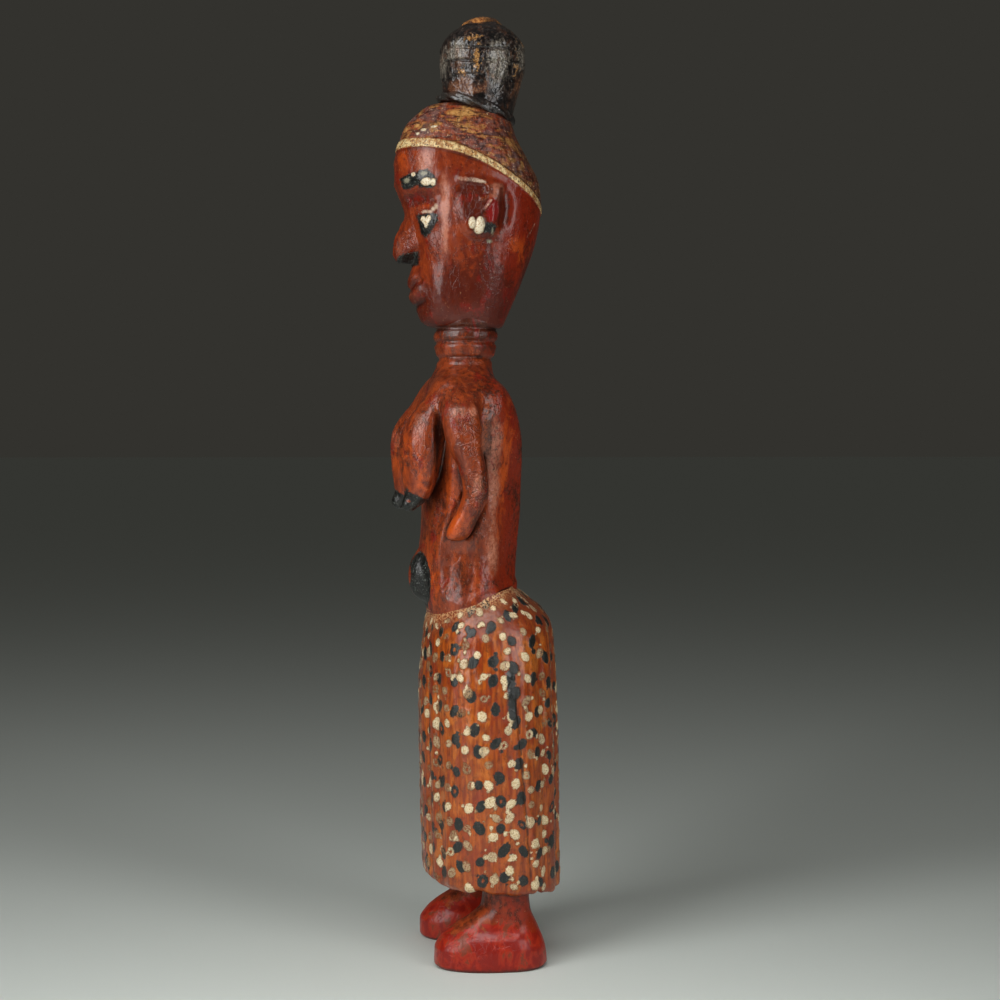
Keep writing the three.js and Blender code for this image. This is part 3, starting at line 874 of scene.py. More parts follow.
def dots(points):
    """How far inside a white dot and inside a black dot each point lies, and each dot's wear and painted
    shade.
    """
    rng = np.random.default_rng(SEED)
    turns, girth = column_turns(2 * DOT_COLUMNS, DOT_PHASE)
    degrees = 360 / girth
    inside = {black: np.full(len(points), NO_PAINT) for black in (True, False)}
    wear_and_shade = np.zeros(len(points))

    def mark(black, column, height, half_width, half_height, lean=0.0, ring=False):
        middle = skirt_point(column, min(height, 0.99 * SKIRT_LENGTH) / SKIRT_LENGTH)
        near = np.abs(points - middle).max(1) < DOT_REACH
        away = points[near] - middle
        sine, cosine = math.sin(math.radians(column)), math.cos(math.radians(column))
        across = away[:, 1] * sine + away[:, 0] * cosine + lean * away[:, 2]
        reach = np.hypot(across / half_width, away[:, 2] / half_height)
        depth = (1 - reach) * 0.5 * (half_width + half_height)
        if ring:
            depth = np.minimum(depth, reach * half_width - RING_HOLE)
        # Each dot's random wear, with painted shade added on the dots turned from the light.
        side_turn = abs((column + 180) % 360 - 180)
        faded_and_shaded = rng.uniform() + AWAY_SHADE * (1 - bump(side_turn - LIT_TURN, LIT_REACH))
        nearer = depth > inside[black][near]
        wear_and_shade[near] = np.where(nearer & (depth > -0.8), faded_and_shaded, wear_and_shade[near])
        inside[black][near] = np.maximum(inside[black][near], depth)

    for number, column in enumerate(turns):
        black = number % 2 == 0
        pitch, stray, widths, heights = BLACK_DOTS if black else WHITE_DOTS
        height = 2.0 + rng.uniform(0, 0.9) * pitch
        while height < DOT_TOP:
            near_waist = smooth_step(height, 0.8 * SKIRT_LENGTH, 0.97 * SKIRT_LENGTH)
            place = column + rng.normal(0, stray) * degrees
            half_width = rng.uniform(*widths) * (1 - 0.3 * near_waist)
            half_height = half_width * rng.uniform(*heights)
            lean, ring = rng.normal(0, LEAN), rng.uniform() < RING_SHARE
            mark(black, place, height, half_width, half_height, lean, ring)
            for _ in range(rng.integers(0, 3)):
                angle, gap = rng.uniform(0, 2 * math.pi), half_width + rng.uniform(0.2, 2.2)
                size = rng.uniform(0.5, 1.2)
                beside, higher = place + gap * math.cos(angle) * degrees, height + gap * math.sin(angle)
                if 0 < higher < DOT_TOP:
                    mark(black and rng.uniform() < 0.6, beside, higher, size, size * rng.uniform(0.7, 1.4))
            height += pitch * (1 - 0.2 * near_waist) * rng.uniform(0.7, 1.3)
    return inside[False], inside[True], wear_and_shade


# Spots and strokes of paint, of painted shade and of painted highlights, on both sides alike. A spot is a
# middle and three half-sizes, and a stroke is a path and its half-width.
INK_SPOTS = (
    ((NIPPLE[0] + 1.0, NIPPLE[1] + 1.5, NIPPLE[2] + 0.4), (8.0, 7.6, 6.8)),
    ((NIPPLE[0] + 2.6, NIPPLE[1] + 1.5, NIPPLE[2] + 6.6), (3.0, 4.0, 4.4)),
    ((5.0, NAVEL[1] + 0.4, NAVEL[2] - 1.0), (9.5, 9.8, 13.0)), ((2.5, -27.0, 174.5), (4.5, 4.0, 6.0)),
)
INK_STROKES = ((((29.4, 2.0, 356.4), (29.2, 4.6, 356.0)), 3.2),)
BARE_SPOTS = (
    ((0, NAVEL[1] - 9.0, NAVEL[2]), (5.5, 3.4, 7)),
    ((NIPPLE[0] + 3.4, NIPPLE[1] - 1.0, NIPPLE[2] + 1.2), (2.2, 1.5, 1.2)),
)
CREAM_SPOTS = (
    ((16.2, -27.8, 405.3), (2.0, 1.6, 0.8)), ((14.9, -30.6, 403.5), (2.0, 1.0, 0.8)),
    ((18.4, -23.0, 406.6), (2.0, 1.8, 0.6)),
)
# Dark strokes in the mouth, under the lip, in the eye socket, in the armpit and in the ear's hollows: painted
# shade in these cuts.
SHADE_LINES = (
    (MOUTH[:3], 0.7), (LIP_SHADOW, 0.5), (SOCKET, 0.6), (ARMPIT, 1.3),
    (((28.6, 9.0, 370.5), (28.4, 9.2, 364.0), (28.0, 7.6, 359)), 1.2),
    (((28.8, -6.5, 375.4), (29.4, -2.0, 375.4)), 1.0), (((29.6, -6.0, 371.0), (29.6, -5.4, 366.0)), 0.7),
    (((29.6, -8.8, 356.5), (29.2, -6.4, 353.6), (28.4, -2.6, 352.0), (28.2, 2.0, 352.2)), 0.5),
)
# Pale strokes on the ridges of the ear and of the back of the head: painted highlights.
HIGHLIGHT_LINES = (
    (((13.3, 27.3, 360.9), (15.2, 24.6, 356.4), (16.2, 22.9, 354.0)), 0.4), (EAR_RIM[:3], 0.9),
    (EAR_RIDGE, 0.3), (EAR_FOLD[:3], 0.2),
    (((30.2, 5.6, 369.8), (30.0, 7.0, 369.0), (29.6, 8.4, 369.7)), 0.25),
    (((30.2, 4.6, 366.6), (30.0, 6.2, 367.6), (29.6, 8.0, 366.6)), 0.25),
    (((30.0, 4.4, 364.0), (29.8, 5.8, 364.9), (29.4, 7.4, 363.9)), 0.25),
    (((25.0, 13.9, 367.0), (24.8, 13.2, 361.0)), 0.3),
)
DRIPS = ((((43.4, 10.6, 142), (43.2, 11.0, 132), (43.0, 11.6, 122)), 2.3),)

# The marks of the brow, eye, nose and ear lie side by side as seen from MARK_TURN degrees in front of
# the side. Each has its place along the view and its height. An oval has two half-sizes too.
MARK_TURN = 9.0
INK_MARKS = (
    ((-37.0, 382.4), (-35.4, 376.8), (-31.5, 376.9), (-26.8, 378.8), (-26.6, 384.8), (-33.0, 383.6)),
    ((-27.5, 377.0), (-20.0, 376.2), (-18.4, 379.0), (-19.7, 382.6), (-23.0, 385.4), (-27.5, 385.0)),
    (
        (-28.8, 364.3), (-26.2, 354.4), (-24.3, 352.7), (-22.0, 354.6), (-18.2, 360.0), (-18.0, 363.6),
        (-20.5, 364.6),
    ),
    # The last shape blackens the underside of the nose.
    ((-37.6, 345.2), (-39.6, 342.4), (-38.0, 339.8), (-27.5, 340.2), (-27.6, 347.2)),
)
CREAM_MARKS = (
    (-25.2, 361.8, 1.3, 1.4), (-22.5, 361.9, 1.3, 1.5), (-23.8, 360.4, 1.8, 1.4), (-23.7, 359.2, 1.0, 1.7),
    (-23.6, 379.4, 2.6, 1.9), (-20.2, 379.0, 1.3, 1.7), (-30.0, 383.4, 1.1, 1.1), (-1.3, 358.8, 1.8, 2.9),
    (2.7, 358.4, 2.1, 3.6), (1.8, 355.6, 2.3, 2.0),
)
# The narrow dab on the ear's black patch, 8.4 along, is a painted highlight on the gloss.
OLIVE_MARKS = (
    (-33.3, 380.8, 1.5, 1.1), (-24.9, 383.4, 1.6, 1.0), (8.4, 355.2, 0.5, 1.2), (7.0, 350.6, 1.3, 0.8),
)
# Pale marks along the upper lid: painted highlights.
HIGHLIGHT_MARKS = (
    (-24.4, 365.4, 1.6, 0.7), (-21.9, 365.2, 1.2, 0.8), (-20.3, 366.4, 1.1, 1.0), (-19.0, 367.4, 0.8, 1.3),
)

# Broad tints of the paint and the varnish, with painted shade and painted highlights among them. Each is a
# middle, three reaches and a strength.
TINTS = {
    # Darker paint: partly the varnish's dark patina, and partly painted shade under the jaw, lips and brow,
    # in the ear's hollows, in the armpit and the groove by the arm, on the forearm's shaded side and under
    # the hand.
    "dark_and_shade": (
        ((18, -14, 326), (18, 16, 14), 1.1), ((22, 6, 322), (12, 12, 16), 0.8),
        ((16, -6, 312), (22, 24, 6), 1.2), ((25, 4, 340), (10, 9, 20), 0.6),
        ((14, 24, 335), (14, 9, 26), 0.6), ((26, 11, 366), (5, 3, 9), 1.2),
        ((29, -4, 375.4), (6, 7, 3.4), 2.6), ((29.4, -4.4, 367.5), (4, 5, 6), 1.5),
        ((29, 8.6, 366), (4, 3.5, 9), 2.0), ((28, 6.0, 352.6), (4, 5, 2), 1.2),
        ((13, -34, 372), (14, 10, 3), 1.1), ((6, -30, 322), (9, 6, 3), 1.2),
        ((5, -32, 329.8), (5, 4, 3), 0.9), ((6, -26, 314), (8, 6, 3.5), 1.6),
        ((6, -6, 296), (24, 22, 26), 0.35), ((3, -37, 356), (5, 3, 12), 0.6),
        ((20, -16, 279), (8, 5, 3), 0.8), ((30, -4, 213), (7, 5, 10), 1.0), ((24, -11, 187), (9, 6, 11), 0.9),
        ((12, 19, 230), (10, 9, 60), 0.4), ((31, -23, 250), (5, 3, 12), 1.0),
        ((35, 1.0, 252), (6, 3, 20), 0.9), ((38, -3, 240), (6, 3, 14), 0.5), ((30, -2, 276), (10, 8, 3), 0.5),
        ((27, 8, 32), (14, 26, 9), 1.0), ((18, 30, 385), (14, 12, 10), 0.5),
    ),
    "warm": (
        ((10, -36, 392), (14, 8, 8), 0.7), ((17, -29, 368.2), (8, 5, 1.8), 1.3),
        ((23, -18, 354), (3, 2.2, 6), 0.8), ((20, -36, 250), (12, 9, 20), 0.8),
        ((26, -30, 238), (8, 4, 12), 0.8), ((37, -17, 214), (7, 5, 9), 1.3),
        ((14, -24, 186), (9, 6, 14), 0.9), ((26, -15, 224), (7, 4, 22), 0.9), ((20, 17, 350), (6, 5, 5), 1.1),
        ((14, 24, 343), (6, 6, 6), 1.1), ((30, -10, 391), (14, 5, 5), 0.5), ((25, 11, 225), (5, 4, 44), 1.3),
        ((31, 11, 250), (5, 4, 16), 0.6), ((27, -6, 345), (8, 8, 8), 0.4), ((27, -12, 368), (8, 3, 12), 0.6),
    ),
    # Pink painted highlights on the forehead, the ridge by the cheek, the nose, the ear's swelling, the
    # shoulder, the breast and the lips; on the flank a pink dusty patina that is partly painted sheen.
    "highlight_and_patina": (
        ((33, 4, 253), (6, 5.5, 16), 1.5), ((28, 5.5, 228), (6, 4.5, 16), 1.2),
        ((25, 5.5, 198), (6, 5, 14), 1.1), ((25, -18.8, 371), (3, 2.6, 12), 1.9),
        ((22.5, -18.6, 350), (3, 2.5, 15), 1.6), ((20, -28, 389), (6, 4, 6), 2.0),
        ((2.8, -37.4, 348), (2.4, 2.4, 6), 1.6), ((7, -35, 355), (5, 4, 9), 0.5),
        ((28, 6.0, 375.4), (4, 4.0, 2.6), 3.0), ((28, 6.4, 371.6), (4, 3.4, 2.4), 1.6),
        ((4, -31, 325.6), (5, 4, 3), 1.0), ((43, -15, 266.5), (4, 3.4, 4), 1.5),
        ((43, -7.5, 267.5), (4, 2.4, 4), 1.2), ((42, -5, 231), (6, 3.4, 8), 1.2),
        ((28, -31, 261), (7, 4, 7), 1.2), ((14, -37, 254), (9, 5, 8), 0.8),
    ),
    "wrinkle": (
        ((43, -8, 256), (6, 7, 12), 1.6), ((42, -6, 230), (7, 6, 10), 1.8), ((27, 5, 215), (5, 5, 40), 0.7),
        ((10, 0, 292), (14, 18, 12), 0.6), ((26, -12, 222), (5, 6, 30), 0.6),
        ((30, -31, 248), (8, 7, 16), 0.5), ((20, 14, 350), (9, 9, 14), 0.5), ((8, -36, 354), (6, 6, 10), 1.0),
    ),
    "crimson": (
        ((30, 4.2, 365), (4, 3.2, 5.5), 2.2), ((20, 3, 405), (8, 6, 4), 0.7),
        ((42, -12, 270), (4, 4, 3), 0.6),
    ),
    # Painted sheen: grey patches where the glossy black topknot catches the light.
    "painted_sheen": (
        ((14.6, -11.7, 445), (5, 5, 6), 1.5), ((20.5, 8.5, 439), (6, 5.5, 11), 1.6),
        ((10, 22, 444), (8, 6, 8), 1.2), ((4, -17, 440), (6, 6, 7), 1.2),
    ),
    "gold": (
        ((20.4, -2.3, 441), (5, 3.2, 9), 1.2), ((19, -6, 451), (5, 8, 2.5), 1.0),
        ((16, 19, 436), (5, 3, 12), 0.9), ((17, -9.6, 434), (4, 3, 2.6), 1.2), ((8, 21, 450), (6, 5, 4), 0.8),
    ),
    "brown": (
        ((15.5, -9, 426.5), (9, 8, 4.6), 1.6), ((6, 22, 428), (9, 8, 6), 0.9),
    ),
}
SKIN_TINTS = ("dark_and_shade", "warm", "highlight_and_patina", "wrinkle")
PART_TINTS = {
    "shoes": SKIN_TINTS,
    "skirt": (),
    "trunk": (*SKIN_TINTS, "crimson"),
    "head": (*SKIN_TINTS, "crimson"),
    "topknot": ("painted_sheen", "gold", "brown"),
}


# How far out each of these looks for wood from the surface. An edge looks inwards, for thin wood.
# The hollow and shelter measures set where the finishes paint dirt and shade.
OUTLOOKS = {"hollow": 1.5, "occlusion_shade": 4.0, "edge": -1.5}


def tint(at, tints):
    return sum(
        strength * np.exp(-sum(((v - m) / r) ** 2 for v, m, r in zip(at, middle, reaches)))
        for middle, reaches, strength in tints
    )


def spots(at, listed):
    """How far inside the nearest spot each point lies."""
    return np.max([-lump(*at, middle, half) for middle, half in listed], axis=0)


def strokes(at, listed):
    """How far inside the nearest stroke each point lies."""
    return np.max([half - path_distance(*at, path) for path, half in listed], axis=0)


def flat_spots(along, z, listed):
    """How far inside the nearest flat oval each point lies."""
    return np.max([(1 - np.hypot((along - a) / w, (z - b) / h)) * min(w, h) for a, b, w, h in listed], axis=0)


def flat_shape(along, z, corners):
    """How far inside a flat shape with anticlockwise corners each point lies."""
    sides = []
    for (a, b), (c, d) in zip(corners, corners[1:] + corners[:1]):
        sides.append(((c - a) * (z - b) - (d - b) * (along - a)) / math.hypot(c - a, d - b))
    return np.min(sides, axis=0)


def paint(part, points, normals):
    """Named lists with one number for each of a part's points."""
    x, y, z = points.T
    at = (np.abs(x), y, z)
    made = {name: tint(at, TINTS[name]) for name in PART_TINTS[part]}
    for name, out in OUTLOOKS.items():
        made[name] = np.clip(1 - figure(*(points + out * normals).T) / out, 0, 1)
    if part == "shoes":
        made["shoe"] = 20.5 + 2.0 * np.sin(y * 0.16 + 1.0) - z
    if part == "skirt":
        made["white"], made["black"], made["wear_and_shade"] = dots(points)
        made["waist"] = bump(np.maximum(torso(x, y, z), 0), 3.2)
        made["drip"] = strokes(at, DRIPS)
    if part in ("trunk", "head"):
        ink = np.maximum(spots(at, INK_SPOTS), strokes(at, INK_STROKES))
        made["ink"] = np.minimum(ink, 0.8 - spots(at, BARE_SPOTS) * 1.5)
        made["lines"] = strokes(at, SHADE_LINES)
    if part == "head":
        turn = math.radians(MARK_TURN)
        along = at[0] * math.sin(turn) + y * math.cos(turn)
        made["ink"] = np.max([made["ink"], *(flat_shape(along, z, shape) for shape in INK_MARKS)], axis=0)
        made["cream"] = np.maximum(spots(at, CREAM_SPOTS), flat_spots(along, z, CREAM_MARKS))
        made["olive"] = flat_spots(along, z, OLIVE_MARKS)
        made["painted_highlight"] = np.maximum(flat_spots(along, z, HIGHLIGHT_MARKS), strokes(at, HIGHLIGHT_LINES))
        made["hair"] = z - band_level(x, y)
    if part == "topknot":
        made["knob"] = 0.3 - knob(x, y, z)
        made["coil"] = -bun_coil(x, y, z)
    return made


# How far each paint stands proud of the wood, in millimetres.
PAINT_THICKNESS = {"skirt": (("white", 0.28), ("black", 0.14)), "head": (("cream", 0.25), ("ink", 0.12))}


def add_object(name, data):
    thing = bpy.data.objects.new(name, data)
    bpy.context.scene.collection.objects.link(thing)
    return thing


def add_part(part, material):
    axes = [np.arange(a, b + part.step, part.step) + GRID_SHIFT for a, b in zip(part.low, part.high)]
    points, faces = surface_net(axes, sample(part.field, axes, part.step))
    points, normals = settle(part.surface, points, faces)
    made = paint(part.name, points, normals)
    thickness = np.zeros(len(points))
    for name, full in PAINT_THICKNESS.get(part.name, ()):
        thickness = thickness + full * smooth_step(made[name], -0.4, 0.5)
    points = points + normals * thickness[:, None]
    points[:, 2] = np.maximum(points[:, 2], 0)
    metres = (points - [0, AXIS_SHIFT, 0]) * MM
    mesh = bpy.data.meshes.new(part.name)
    mesh.vertices.add(len(points))
    mesh.vertices.foreach_set("co", metres.astype(np.float32).ravel())
    mesh.loops.add(4 * len(faces))
    mesh.loops.foreach_set("vertex_index", faces.astype(np.int32).ravel())
    mesh.polygons.add(len(faces))
    mesh.polygons.foreach_set("loop_start", np.arange(len(faces), dtype=np.int32) * 4)
    mesh.polygons.foreach_set("use_smooth", np.ones(len(faces), bool))
    mesh.update(calc_edges=True)
    for name, values in made.items():
        layer = mesh.attributes.new(name, "FLOAT", "POINT")
        layer.data.foreach_set("value", np.ascontiguousarray(values, np.float32))
    mesh.materials.append(material)
    piece = add_object("carved_" + part.name, mesh)
    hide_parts("figure")
    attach(piece, "root")


# The painted and varnished finishes


def colour(value):
    """A screen colour of three numbers up to 255 as the four linear numbers that nodes take."""
    parts = [v / 255 for v in value]
    return (*(p / 12.92 if p <= 0.04045 else ((p + 0.055) / 1.055) ** 2.4 for p in parts), 1.0)


class Value:
    """A number that a material's nodes work out. It can be reckoned with, which adds nodes."""

    def __init__(self, finish, socket):
        self.finish = finish
        self.socket = socket

    def __add__(self, other):
        return self.finish.work("ADD", self, other)

    def __sub__(self, other):
        return self.finish.work("SUBTRACT", self, other)

    def __rsub__(self, other):
        return self.finish.work("SUBTRACT", other, self)

    def __mul__(self, other):
        return self.finish.work("MULTIPLY", self, other)

    def ramp(self, low, high):
        """0 below low, 1 above high, and a soft rise between them."""
        ends = {0: self, 1: low, 2: high}
        return self.finish.value(0, "ShaderNodeMapRange", ends, interpolation_type="SMOOTHSTEP")


class Finish:
    """A material of mixed colours, with short ways to add its nodes. Sizes are in millimetres."""

    def __init__(self, name):
        self.material = bpy.data.materials.new(name)
        self.material.use_nodes = True
        self.tree = self.material.node_tree
        self.tree.nodes.clear()
        place = self.add("ShaderNodeTexCoord", {}).outputs["Object"]
        place = self.add("ShaderNodeVectorMath", {0: place, "Scale": 1 / MM}, operation="SCALE")
        self.place = place.outputs[0]
        self.depth = self.value(1, "ShaderNodeSeparateXYZ", {0: self.place})
        self.height = self.value(2, "ShaderNodeSeparateXYZ", {0: self.place})
        self.broad = self.noise((14, 14, 22), 3, 0.55, 0.4)
        self.patches = self.noise((6, 6, 9), 4, 0.6, 0.6)
        self.mottle = self.noise((1.9, 1.9, 2.4), 4, 0.65)
        self.grain = self.noise((0.5, 0.5, 4.5), 3, 0.6)
        self.chips = self.noise((0.9, 0.9, 0.9), 3, 0.7)
        self.specks = self.noise((0.45, 0.45, 0.45), 2, 0.6)
        self.fray = self.chips * 1.7 - 0.85

    def add(self, kind, inputs, **settings):
        """A new node. Each input takes a constant, or is linked to another node."""
        node = self.tree.nodes.new(kind)
        for name, value in settings.items():
            setattr(node, name, value)
        for name, value in inputs.items():
            value = getattr(value, "socket", value)
            if isinstance(value, bpy.types.NodeSocket):
                self.tree.links.new(value, node.inputs[name])
            else:
                node.inputs[name].default_value = value
        return node

    def value(self, output, kind, inputs, **settings):
        return Value(self, self.add(kind, inputs, **settings).outputs[output])

    def work(self, operation, *values):
        return self.value(0, "ShaderNodeMath", dict(enumerate(values)), operation=operation)

    def own(self, name):
        """The number of this name that each point of the mesh has."""
        return self.value("Fac", "ShaderNodeAttribute", {}, attribute_name=name)

    def space(self, sizes, turn=(0, 0, 0)):
        """Coordinates in which the three sizes are one unit long."""
        turned = [math.radians(a) for a in turn]
        inputs = {"Vector": self.place, "Scale": [1 / s for s in sizes], "Rotation": turned}
        return self.add("ShaderNodeMapping", inputs).outputs[0]

    def noise(self, sizes, detail, rough, twist=0.0, turn=(0, 0, 0)):
        """Noise round 0.5, with lumps of the three sizes."""
        inputs = {"Scale": 1.0, "Detail": detail, "Roughness": rough, "Distortion": twist}
        return self.value("Fac", "ShaderNodeTexNoise", {"Vector": self.space(sizes, turn), **inputs})

    def cracks(self, sizes, width):
        """1 on a net of lines round cells of the sizes, and 0 off it."""
        place = self.space(sizes)
        wander = self.add("ShaderNodeTexNoise", {"Vector": place, "Scale": 1.3}).outputs["Color"]
        inputs = {0: wander, 1: (0.8, 0.8, 0.8), 2: place}
        place = self.add("ShaderNodeVectorMath", inputs, operation="MULTIPLY_ADD").outputs[0]
        inputs = {"Vector": place, "Scale": 1.0}
        edge = self.value("Distance", "ShaderNodeTexVoronoi", inputs, feature="DISTANCE_TO_EDGE")
        return 1.0 - edge.ramp(0.0, width)

    def facets(self, sizes):
        """Rounded cells, as broad knife cuts leave them."""
        inputs = {"Vector": self.space(sizes), "Scale": 1.0, "Smoothness": 0.35}
        return self.value("Distance", "ShaderNodeTexVoronoi", inputs, feature="SMOOTH_F1")

    def wrinkles(self):
        """Thin winding lines, as in varnish that dried too fast."""
        return self.work("SINE", self.noise((6.0, 6.0, 5.0), 1.0, 0.4, 0.6) * 48.0)

    def mix(self, share, a, b):
        a, b = (colour(value) if isinstance(value, tuple) else value for value in (a, b))
        return self.add("ShaderNodeMix", {0: share, 6: a, 7: b}, data_type="RGBA").outputs[2]

    def layers(self, base, *layers):
        """A base under layers. Each has the share of it that is there, how much that hides and a colour."""
        for share, strength, over in layers:
            base = self.mix(share * strength, base, over)
        return base

    def area(self, name, soft, fray=1.0):
        """1 inside the frayed edge of a painted area."""
        return (self.own(name) + self.fray * fray).ramp(-soft, soft)

    def finish(self, base, height, rough, coat, coat_rough):
        """The material, with its least roughness and the weight and roughness of its varnish."""
        bumped = self.add("ShaderNodeBump", {"Distance": MM, "Height": height}).outputs[0]
        inputs = {
            "Base Color": base,
            "Roughness": self.mottle * 0.3 + rough,
            "Specular IOR Level": 0.1,
            "Normal": bumped,
            "Coat IOR": 1.5,
            "Coat Weight": coat,
            "Coat Roughness": coat_rough,
            "Coat Normal": bumped,
        }
        shader = self.add("ShaderNodeBsdfPrincipled", inputs)
        self.add("ShaderNodeOutputMaterial", {"Surface": shader.outputs[0]})
        return self.material


def grime_and_shade(n, base, strength):
    """Dirt and painted shade: darkens what lies in hollows and creases, and paints shade where other parts
    shelter the surface.
    """
    dirt, occlusion_shade = n.own("hollow").ramp(0.12, 0.7), n.own("occlusion_shade").ramp(0.4, 1.0)
    # The first layer is dirt in the hollows with painted shade in the creases; the second is painted shade
    # from nearby parts.
    return n.layers(base, (dirt, strength, (34, 14, 9)), (occlusion_shade, 0.35, (44, 18, 11)))


def varnished_skin(n, streak=(4, 4, 13), dirt=2.6):
    """Orange-brown skin, redder behind, under an uneven varnish, with painted shade and painted highlights
    from the tints. Gives its cracks too.
    """
    streaks = n.noise(streak, 4, 0.6, 0.8)
    smears = n.noise((5.5, 5.5, 7.5), 3, 0.55, 1.2)
    backwards = n.broad * 24.0 + n.depth
    warm = n.own("warm") + (smears * 2.2 - 1.25)
    # Painted highlights from the tints, broken up by mottling.
    highlight_and_patina = n.own("highlight_and_patina") * (n.mottle * 2.4 - 0.2) + (n.patches * 1.2 - 0.75)
    # Darkening from the tints, partly patina and partly painted shade, with darker patches at random.
    dark_and_shade = n.own("dark_and_shade") + (n.mottle * dirt - 0.5 * dirt) + (smears * -1.4 + 0.7) + (n.broad * 2.0 - 0.95)
    red = n.patches.ramp(0.54, 0.62) * n.broad.ramp(0.45, 0.55)
    pits = n.chips.ramp(0.42, 0.36) * n.patches.ramp(0.42, 0.54)
    lines = n.cracks((2.8, 2.8, 4.0), 0.07) * n.broad.ramp(0.46, 0.58)
    dust = n.chips.ramp(0.60, 0.68) * n.mottle.ramp(0.48, 0.58)
    worn = n.own("edge").ramp(0.18, 0.5) * n.chips.ramp(0.42, 0.55)
    base = n.layers(
        n.mix(streaks.ramp(0.32, 0.68), (104, 38, 17), (154, 64, 25)),
        (backwards.ramp(8, 24), 1.0, (136, 37, 10)),
        (warm.ramp(0.15, 1.0), 0.85, (198, 82, 24)),
        (highlight_and_patina.ramp(0.1, 1.4), 0.85, (208, 134, 106)),
        (dark_and_shade.ramp(0.1, 0.9), 0.85, (60, 22, 8)),
        (red, 0.6, (134, 22, 11)),
        (pits, 0.65, (38, 15, 10)),
        (lines, 0.5, (44, 18, 12)),
        (dust, 0.4, (206, 158, 116)),
        (worn, 0.45, (196, 96, 42)),
    )
    return base, lines


def carving_height(n, lines, cuts=0.3, crumpled=0.14):
    """Height of knife cuts, grain and wrinkled varnish, in millimetres."""
    coarse = n.patches.ramp(0.46, 0.6)
    wrinkled = (n.own("wrinkle") + (n.patches * 1.6 - 1.15)).ramp(0.1, 0.6)
    height = n.facets((5.5, 5.5, 12)) * cuts + n.grain * 0.05
    height = height + n.mottle * coarse * crumpled + n.chips * coarse * (0.4 * crumpled)
    return height + n.wrinkles() * wrinkled * 0.17 + lines * -0.07


def inked(n, base):
    """Crimson patches, painted shade as dark lines in the deepest cuts, and black paint with grey flecks that
    are partly rubbed paint and partly painted highlight.
    """
    crimson = n.own("crimson") + (n.chips * 1.2 - 0.6)
    # Grey flecks on the black paint: partly rubbed paint and partly painted highlight on the gloss.
    flecks_and_sheen = n.chips.ramp(0.56, 0.66) * n.patches.ramp(0.42, 0.54)
    black = n.mix(n.mottle.ramp(0.4, 0.6), (13, 14, 13), (32, 31, 28))
    return n.layers(
        base,
        (crimson.ramp(0.4, 1.0), 0.85, (134, 14, 12)),
        # Painted shade along the deepest cuts.
        (n.area("lines", 0.9, 0.8), 0.85, (34, 14, 13)),
        (n.area("ink", 0.45, 2.2), 1.0, n.mix(flecks_and_sheen, black, (100, 104, 98))),
    )


def skin_finish():
    n = Finish("varnished_skin")
    base, lines = varnished_skin(n)
    return n.finish(grime_and_shade(n, inked(n, base), 0.8), carving_height(n, lines), 0.3, 0.75, 0.2)


def head_finish():
    n = Finish("painted_head")
    base, lines = varnished_skin(n, (5, 5, 8), 2.0)

    streaks = n.noise((7, 9, 2.4), 4, 0.6, 1.2, (-30, 0, 0))
    patches = n.noise((13, 15, 8), 3, 0.6, 1.0, (-30, 0, 0))
    gold = patches.ramp(0.46, 0.66) * streaks.ramp(0.34, 0.56)
    violet = patches.ramp(0.54, 0.38) * n.patches.ramp(0.40, 0.60)
    behind = (n.depth + n.patches * 16.0).ramp(10, 34)
    flakes = n.chips.ramp(0.58, 0.64) * n.mottle.ramp(0.54, 0.42)
    hair = n.layers(
        n.mix(streaks.ramp(0.36, 0.62), (74, 30, 18), (150, 64, 32)),
        (gold, 0.85, (210, 158, 88)),
        (violet, 0.7, (120, 96, 92)),
        (n.mottle.ramp(0.50, 0.68), 0.85, (42, 18, 14)),
        (behind, 0.6, (58, 32, 24)),
        (flakes, 0.8, (220, 186, 146)),
    )

    ribbon = n.layers(
        n.mix(n.mottle.ramp(0.42, 0.6), (232, 204, 148), (176, 122, 66)),
        (n.chips.ramp(0.54, 0.62), 1.0, (74, 42, 26)),
        (n.depth.ramp(18, 30), 0.4, (128, 80, 46)),
    )
    half = n.depth.ramp(0, -BAND_SWELL_DEPTH) * BAND_SWELL + BAND_HALF
    inside = half - n.work("ABSOLUTE", n.own("hair"))
    inside = (inside + n.fray * 1.6).ramp(-0.35, 0.35)
    base = n.layers(base, (1.0, 0.28, (108, 18, 4)), (n.area("hair", 0.3), 1.0, hair), (inside, 1.0, ribbon))

    cream = n.area("cream", 0.25, 0.9)
    base = n.layers(
        inked(n, base),
        # Painted highlights on the lid and on the ridges of the ear and head.
        (n.area("painted_highlight", 0.5, 0.9), 0.8, (216, 188, 162)),
        (n.area("olive", 0.5, 1.2), 1.0, (140, 134, 112)),
        (cream, 1.0, n.mix(n.chips.ramp(0.48, 0.62), (240, 226, 196), (196, 160, 116))),
    )
    painted = n.own("hair").ramp(-2.0, -1.0) + cream
    height = carving_height(n, lines, 0.14, 0.07) + cream * 0.15 + n.chips * painted * 0.25
    return n.finish(grime_and_shade(n, base, 0.7), height, 0.28, 0.6, 0.19)


